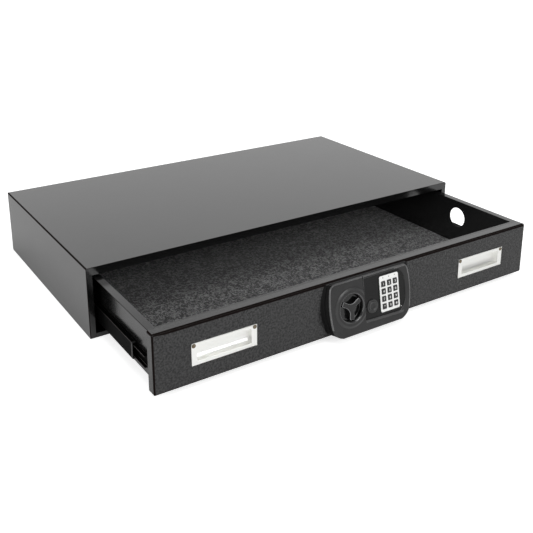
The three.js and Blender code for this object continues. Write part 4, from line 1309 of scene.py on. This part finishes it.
def on_rim(x, y, z):
    """Along the sides and the top, where the face turns into the rim."""
    if y > 3 * MM or z < FOOT_CORNER - COVER_HIGH:
        return False
    width = RIM_HIGHLIGHT_WIDTH if x < STILL_HALF else RIM_HIGHLIGHT_RIGHT
    return min(half_at(z) - abs(x), COVER_HIGH - z) < width


# %% Painting the places
# The boss, the swoop, the split's side and the rim take painted highlights, and the inside of the
# split takes painted shade.
COVER_MARKS = (
    (on_panel, panel_black),
    (on_boss, soft_highlight),
    (on_swoop, swoop_highlight),
    (beside_split, edge_highlight_plastic),
    (in_split, base_black_and_split_shade),
    (on_rim, edge_highlight_plastic),
)
for test, finish in COVER_MARKS:
    print(finish.name, repaint(cover, lock_test(test), finish), "faces")
print("cover after its pockets:", len(cover.data.polygons), "faces")

# %% [markdown]
# ## Round mouldings
# The knob's recess, the ring round the key cap and the cap itself are turned shapes. Each starts
# as its half profile, a strip of edges that is extruded step by step, and is spun round its own
# axis.

# %% Turning a profile


def turn_profile(name, profile, x, z, steps):
    """Spins a profile of (radius, y) points round the y axis through x and z."""
    piece = start("plane", name, size=1)
    edit_all(piece, "VERT")
    bpy.ops.mesh.merge(type="CENTER")
    radius, y = profile[0]
    bpy.ops.transform.translate(value=(x + radius, y, z))
    for next_radius, next_y in profile[1:]:
        step = (next_radius - radius, next_y - y, 0)
        bpy.ops.mesh.extrude_vertices_move(TRANSFORM_OT_translate={"value": step})
        radius, y = next_radius, next_y
    bpy.ops.mesh.select_all(action="SELECT")
    bpy.ops.mesh.spin(steps=steps, angle=2 * math.pi, center=(x, 0, z), axis=(0, 1, 0))
    leave_edit()
    outwards(piece)
    return piece


def arc(radius_from, y_from, radius_to, y_to, steps, first="radius"):
    """Points of a quarter turn between two points, which leaves along the radius or along y."""
    points = []
    for count in range(1, steps + 1):
        angle = math.pi / 2 * count / steps
        early, late = math.sin(angle), 1 - math.cos(angle)
        along_radius, along_y = (early, late) if first == "radius" else (late, early)
        radius = radius_from + (radius_to - radius_from) * along_radius
        points.append((radius, y_from + (y_to - y_from) * along_y))
    return points


# %% Recess cup
CUP_FLOOR = 10 * MM
CUP_BACK = 12 * MM
CUP_OUTER = RECESS + 1.9 * MM
CUP_INNER = RECESS - 2.8 * MM
CUP_ROUND = 2 * MM
LIP_OUTER = RECESS + 0.4 * MM
LIP_DEEP = 2.6 * MM
SPINDLE_HOLE = 4.3 * MM

cup_profile = [(CUP_OUTER, CUP_BACK), (CUP_OUTER, 1 * MM), (LIP_OUTER, -BOSS_PROUD)]
cup_profile += arc(LIP_OUTER, -BOSS_PROUD - 0.15 * MM, CUP_INNER, LIP_DEEP, 8)
cup_profile += arc(CUP_INNER, CUP_FLOOR - CUP_ROUND, CUP_INNER - CUP_ROUND, CUP_FLOOR, 5, "y")
cup_profile += [(SPINDLE_HOLE, CUP_FLOOR), (SPINDLE_HOLE, CUP_BACK), cup_profile[0]]
cup = lay_on_lock(turn_profile("knob_cup", cup_profile, KNOB_X, KNOB_Z, 96))
hand_over(cup, gloss_black, "drawer", smooth=45)


def on_lip(x, y, z):
    return y < LIP_DEEP and math.hypot(x - KNOB_X, z - KNOB_Z) < RECESS + 0.3 * MM


# The lip takes a lighter grey: a painted highlight round the recess.
print("recess lip:", repaint(cup, lock_test(on_lip), lip_highlight), "faces")

# %% Ring round the cap
RING_OUTER = 14.5 * MM
RING_TOP = -0.8 * MM
RING_FOOT = 3 * MM
RING_ROUND = 1.2 * MM
RING_EASE = 0.5 * MM

ring_profile = [(CAP_HOLE, RING_FOOT), (CAP_HOLE, RING_TOP + RING_EASE)]
ring_profile += arc(CAP_HOLE, RING_TOP + RING_EASE, CAP_HOLE + RING_EASE, RING_TOP, 3, "y")
ring_profile += arc(RING_OUTER - RING_ROUND, RING_TOP, RING_OUTER, RING_TOP + RING_ROUND, 5)
ring_profile += [(RING_OUTER, 2.2 * MM), (CAP_HOLE, RING_FOOT)]
ring = lay_on_lock(turn_profile("cap_ring", ring_profile, CAP_X, CAP_Z, 64))
# The ring is a lighter grey all over: a painted highlight on its round.
hand_over(ring, soft_highlight, "drawer", smooth=45)

# %% [markdown]
# The cap over the override key is a thin plug with a dished face, so that a fingernail can lift
# it.

# %% Cap
CAP_RADIUS = 10.7 * MM
CAP_FRONT = -1.4 * MM
CAP_BACK = 2.9 * MM
CAP_RIM = 3 * MM
CAP_SHOULDER = CAP_FRONT + 0.8 * MM
CAP_DISH = ((1.8, 0.3), (3.5, 1.1), (6, 1.7))  # millimetres in from the rim, and down

cap_profile = [(0, CAP_BACK), (CAP_RADIUS, CAP_BACK), (CAP_RADIUS, CAP_SHOULDER)]
cap_profile += arc(CAP_RADIUS, CAP_SHOULDER, CAP_RADIUS - 0.9 * MM, CAP_FRONT, 4, "y")
cap_profile += [(CAP_RADIUS - inward * MM, CAP_FRONT + down * MM) for inward, down in CAP_DISH]
cap_profile.append((0, CAP_FRONT + 1.9 * MM))
cap = lay_on_lock(turn_profile("key_cap", cap_profile, CAP_X, CAP_Z, 64))
hand_over(cap, housing_black, "override_cap", ["override_cap"], smooth=45)


def on_cap_rim(x, y, z):
    return CAP_RADIUS - CAP_RIM < math.hypot(x - CAP_X, z - CAP_Z) and y < 0


# The rim of the dish takes the lighter grey: a painted highlight.
print("cap rim:", repaint(cap, lock_test(on_cap_rim), soft_highlight), "faces")

# %% [markdown]
# ## Knob
# Three spokes meet in a hub, and the fingers go between them. A prism with six sides gives the hub,
# and every second side is drawn out into a spoke. The inner corners are filleted, the tips rounded,
# and the front edges get a wide round in a light grey, a painted highlight.

# %% Hub and spokes
KNOB_FRONT = -0.4 * MM
KNOB_BACK = 9 * MM
SPOKE_REACH = 26 * MM
SPOKE_WIDE = 10.2 * MM
TIP_FLARE = 1.3
SPOKE_ANGLES = (30, 150, 270)
HUB_FLAT = SPOKE_WIDE * math.sqrt(3) / 2

knob = start(
    "cylinder",
    "spoked_knob",
    vertices=6,
    radius=SPOKE_WIDE,
    depth=KNOB_BACK - KNOB_FRONT,
    location=(0, (KNOB_FRONT + KNOB_BACK) / 2, 0),
    rotation=(math.pi / 2, math.pi / 6, 0),
)


def faces_a_spoke(face):
    """Does a side face point down, or up to either side?"""
    if abs(face.normal.y) > 0.5:
        return False
    angle = math.degrees(math.atan2(face.normal.z, face.normal.x)) % 120
    return near(angle, 30, 2)


edit(knob, "FACE")
print("knob: spokes", pick(knob, "faces", faces_a_spoke))
bpy.ops.mesh.extrude_faces_move(
    MESH_OT_extrude_faces_indiv={"mirror": False},
    TRANSFORM_OT_shrink_fatten={"value": SPOKE_REACH - HUB_FLAT},
)
leave_edit()
for turn in SPOKE_ANGLES:
    along = Vector((math.cos(math.radians(turn)), 0, math.sin(math.radians(turn))))
    edit(knob, "VERT")
    pick(knob, "verts", lambda vertex: vertex.co.dot(along) > SPOKE_REACH * 0.9)
    flare = [1 + (TIP_FLARE - 1) * (1 - abs(along[axis])) for axis in range(3)]
    bpy.ops.transform.resize(value=(flare[0], 1, flare[2]), center_override=along * SPOKE_REACH)
    leave_edit()

# %% Rounding the knob
ROOT_ROUND = 3.4 * MM
TIP_ROUND = 3.2 * MM
KNOB_ROUND = 1.9 * MM
SPOKE_MIDDLE = 15 * MM


def reaches(edge):
    """How far the two ends of an edge are from the knob's axis."""
    return [math.hypot(vertex.co.x, vertex.co.z) for vertex in edge.verts]


def root_edge(edge):
    return runs_inward(edge) and max(reaches(edge)) < SPOKE_MIDDLE


def tip_edge(edge):
    return runs_inward(edge) and min(reaches(edge)) > SPOKE_MIDDLE


def front_edge(edge):
    """An edge between the knob's front and one of its sides."""
    if not both_ends(edge, 1, KNOB_FRONT) or len(edge.link_faces) != 2:
        return False
    return any(abs(face.normal.y) < 0.5 for face in edge.link_faces)


round_where(knob, root_edge, ROOT_ROUND, 5)
round_where(knob, tip_edge, TIP_ROUND, 5)
round_where(knob, front_edge, KNOB_ROUND, 5, clamp_overlap=True)
slide(knob, (KNOB_X, 0, KNOB_Z))
lay_on_lock(knob)
hand_over(knob, gloss_black, "knob", ["knob"], smooth=50)


def on_knob_edge(face):
    """Is a face part of the round between the knob's front and its sides?"""
    return 0.35 < abs((from_lock.to_3x3() @ face.normal).y) < 0.9


# The rounds on the front edges take a light grey: a painted highlight.
print("knob edges:", repaint(knob, on_knob_edge, knob_edge_highlight), "faces")

# %% [markdown]
# ## Keypad
# A white plate with twelve windows carries black keys with white digits. The plate is a box with
# round corners, cut by one window that an array repeats in both directions.

# %% Keypad plate
PLATE_FRONT = -0.8 * MM
PLATE_BACK = 0.7 * MM
KEY_PITCH_X = 16.2 * MM
KEY_PITCH_Z = 16.4 * MM
KEY_WIDE = 10.6 * MM
KEY_HIGH = 11.8 * MM
KEY_PLAY = 0.6 * MM
KEY_FOOT = 6.3 * MM
PLATE_EASE = 0.25 * MM
KEY_FIELD_Z = KEYPAD_Z - KEYPAD_HIGH / 2 + KEY_FOOT + (3 * KEY_PITCH_Z + KEY_HIGH) / 2

plate = keypad_block("keypad_face", PLATE_FRONT, PLATE_BACK)
first_x = KEYPAD_X - KEY_PITCH_X
first_z = KEY_FIELD_Z - 1.5 * KEY_PITCH_Z
half_wide = (KEY_WIDE + KEY_PLAY) / 2
half_high = (KEY_HIGH + KEY_PLAY) / 2
window = start_box(
    "window",
    (first_x - half_wide, PLATE_FRONT - 1 * MM, first_z - half_high),
    (first_x + half_wide, PLATE_BACK + 1 * MM, first_z + half_high),
)
for count, step in ((3, (KEY_PITCH_X, 0, 0)), (4, (0, 0, KEY_PITCH_Z))):
    shape(
        window,
        "ARRAY",
        count=count,
        use_relative_offset=False,
        use_constant_offset=True,
        constant_offset_displace=step,
    )
carve(plate, window)
round_edges(plate, PLATE_EASE)
lay_on_lock(plate)
hand_over(plate, keypad_white, "drawer", ["keypad_plate"])

# %% One key
KEY_FRONT = -2.0 * MM
KEY_BACK = 1.7 * MM
KEY_CORNER = 1.0 * MM
KEY_ROUND = 0.5 * MM
FLANGE_FRONT = 0.9 * MM
FLANGE_SIDE = 1.2 * MM
FLANGE_END = 0.8 * MM

key_cap = start_box(
    "key_cap_1",
    (-KEY_WIDE / 2, KEY_FRONT, -KEY_HIGH / 2),
    (KEY_WIDE / 2, KEY_BACK, KEY_HIGH / 2),
)
round_where(key_cap, runs_inward, KEY_CORNER, 3)
round_where(key_cap, lambda edge: both_ends(edge, 1, KEY_FRONT), KEY_ROUND, 3)
key_flange = start_box(
    "key_flange",
    (-KEY_WIDE / 2 - FLANGE_SIDE, FLANGE_FRONT, -KEY_HIGH / 2 - FLANGE_END),
    (KEY_WIDE / 2 + FLANGE_SIDE, KEY_BACK, KEY_HIGH / 2 + FLANGE_END),
)
shape(key_cap, "BOOLEAN", operation="UNION", solver="EXACT", object=key_flange)
bpy.data.objects.remove(key_flange)

# %% A printed digit
PRINT_HIGH = 7.4 * MM
PRINT_THICK = 0.05 * MM
PRINT_PROUD = 0.02 * MM


def key_print(text, name, x, z):
    """A printed character: flat text turned to a thin mesh, standing on the key's face."""
    put_down()
    bpy.ops.object.text_add(location=(x, KEY_FRONT - PRINT_PROUD, z), rotation=(math.pi / 2, 0, 0))
    sign = bpy.context.object
    sign.data.body = text
    sign.data.size = PRINT_HIGH
    sign.data.align_x = "CENTER"
    sign.data.align_y = "CENTER"
    sign.data.extrude = PRINT_THICK
    sign.data.offset = PRINT_THICK
    bpy.ops.object.convert(target="MESH")
    sign = bpy.context.object
    sign.name = name
    bpy.ops.object.transform_apply(location=True, rotation=True, scale=True)
    outwards(sign)
    return sign


# %% All twelve keys
KEY_LABELS = ["1", "2", "3", "4", "5", "6", "7", "8", "9", "clear", "0", "enter"]
KEY_PRINT = {"clear": "*", "enter": "#"}


def key_place(index):
    """Where a key's middle is on the lock, counted from the upper left."""
    column, row = index % 3, index // 3
    return (KEYPAD_X + (column - 1) * KEY_PITCH_X, KEY_FIELD_Z + (1.5 - row) * KEY_PITCH_Z)


for index, label in enumerate(KEY_LABELS):
    x, z = key_place(index)
    key = copy_of(key_cap, f"key_{label}_cap")
    slide(key, (x, 0, z))
    lay_on_lock(key)
    hand_over(key, key_black, f"key_{label}", [f"key_{label}"])
    sign = lay_on_lock(key_print(KEY_PRINT.get(label, label), f"key_{label}_print", x, z))
    hand_over(sign, print_white, f"key_{label}")
bpy.data.objects.remove(key_cap)
print("keys:", len(KEY_LABELS))

# %% [markdown]
# Three small brown marks show above the keys in the photograph, and a faint pale one beside the
# plate's foot. They may be indicator lamps. A print would lie flat and a lamp is domed, so all four
# are low studs, turned from one short profile.

# %% Marks above the keys, and the small lens
MARK_RADIUS = 1.9 * MM
MARK_FRONT = PLATE_FRONT - 0.15 * MM
MARK_BACK = PLATE_FRONT + 0.5 * MM
MARK_Z = KEYPAD_Z + KEYPAD_HIGH / 2 - 4.4 * MM
LENS_RADIUS = 1.2 * MM
LENS_X = 79 * MM
LENS_Z = -30 * MM


def make_stud(name, x, z, radius, front, back):
    """A low round stud with a domed front."""
    stud_profile = [(0, back), (radius, back)]
    stud_profile += arc(radius, front + radius * 0.4, 0, front, 5, "y")
    return lay_on_lock(turn_profile(name, stud_profile, x, z, 24))


for number, step in enumerate((-1, 0, 1), start=1):
    mark_x = KEYPAD_X + step * KEY_PITCH_X
    mark = make_stud(f"keypad_mark_{number}", mark_x, MARK_Z, MARK_RADIUS, MARK_FRONT, MARK_BACK)
    hand_over(mark, mark_brown, "drawer", smooth=50)
lens = make_stud("status_lens", LENS_X, LENS_Z, LENS_RADIUS, -0.2 * MM, 2 * MM)
hand_over(lens, lens_pale, "drawer", smooth=50)

# %% [markdown]
# ## What keeps its CAD shape
# The cages, the lock's inner works and the battery's parts are plain turned, cut or moulded forms
# that CAD already draws in full. They keep their meshes and get their finishes.

# %% Finishes on CAD nodes
NODE_FINISHES = {
    ball_steel: [
        "outer_ball_cage_left",
        "outer_ball_cage_right",
        "inner_ball_cage_left",
        "inner_ball_cage_right",
        "solenoid_plunger",
        "plunger_spring",
    ],
    zinc: ["knob_spindle", "cam_disc", "bolt_plate", "bolt_guide", "key_cylinder", "key_plug"],
    black_zinc: ["solenoid_body"],
    rubber_black: ["key_mat"],
    board_green: ["circuit_board"],
    gloss_black: ["battery_holder", "battery_door", "battery_door_track"],
    sleeve_grey: ["battery"],
    lead_red: ["battery_lead"],
}

for finish, names in NODE_FINISHES.items():
    for node in names:
        paint(nodes[node], finish)
dressed = {node for names in NODE_FINISHES.values() for node in names}
shown = {name for name, node in nodes.items() if not node.hide_render}
print("CAD nodes that show:", len(shown), "without a finish:", sorted(shown - dressed))

# %% Putting everything down
put_down()
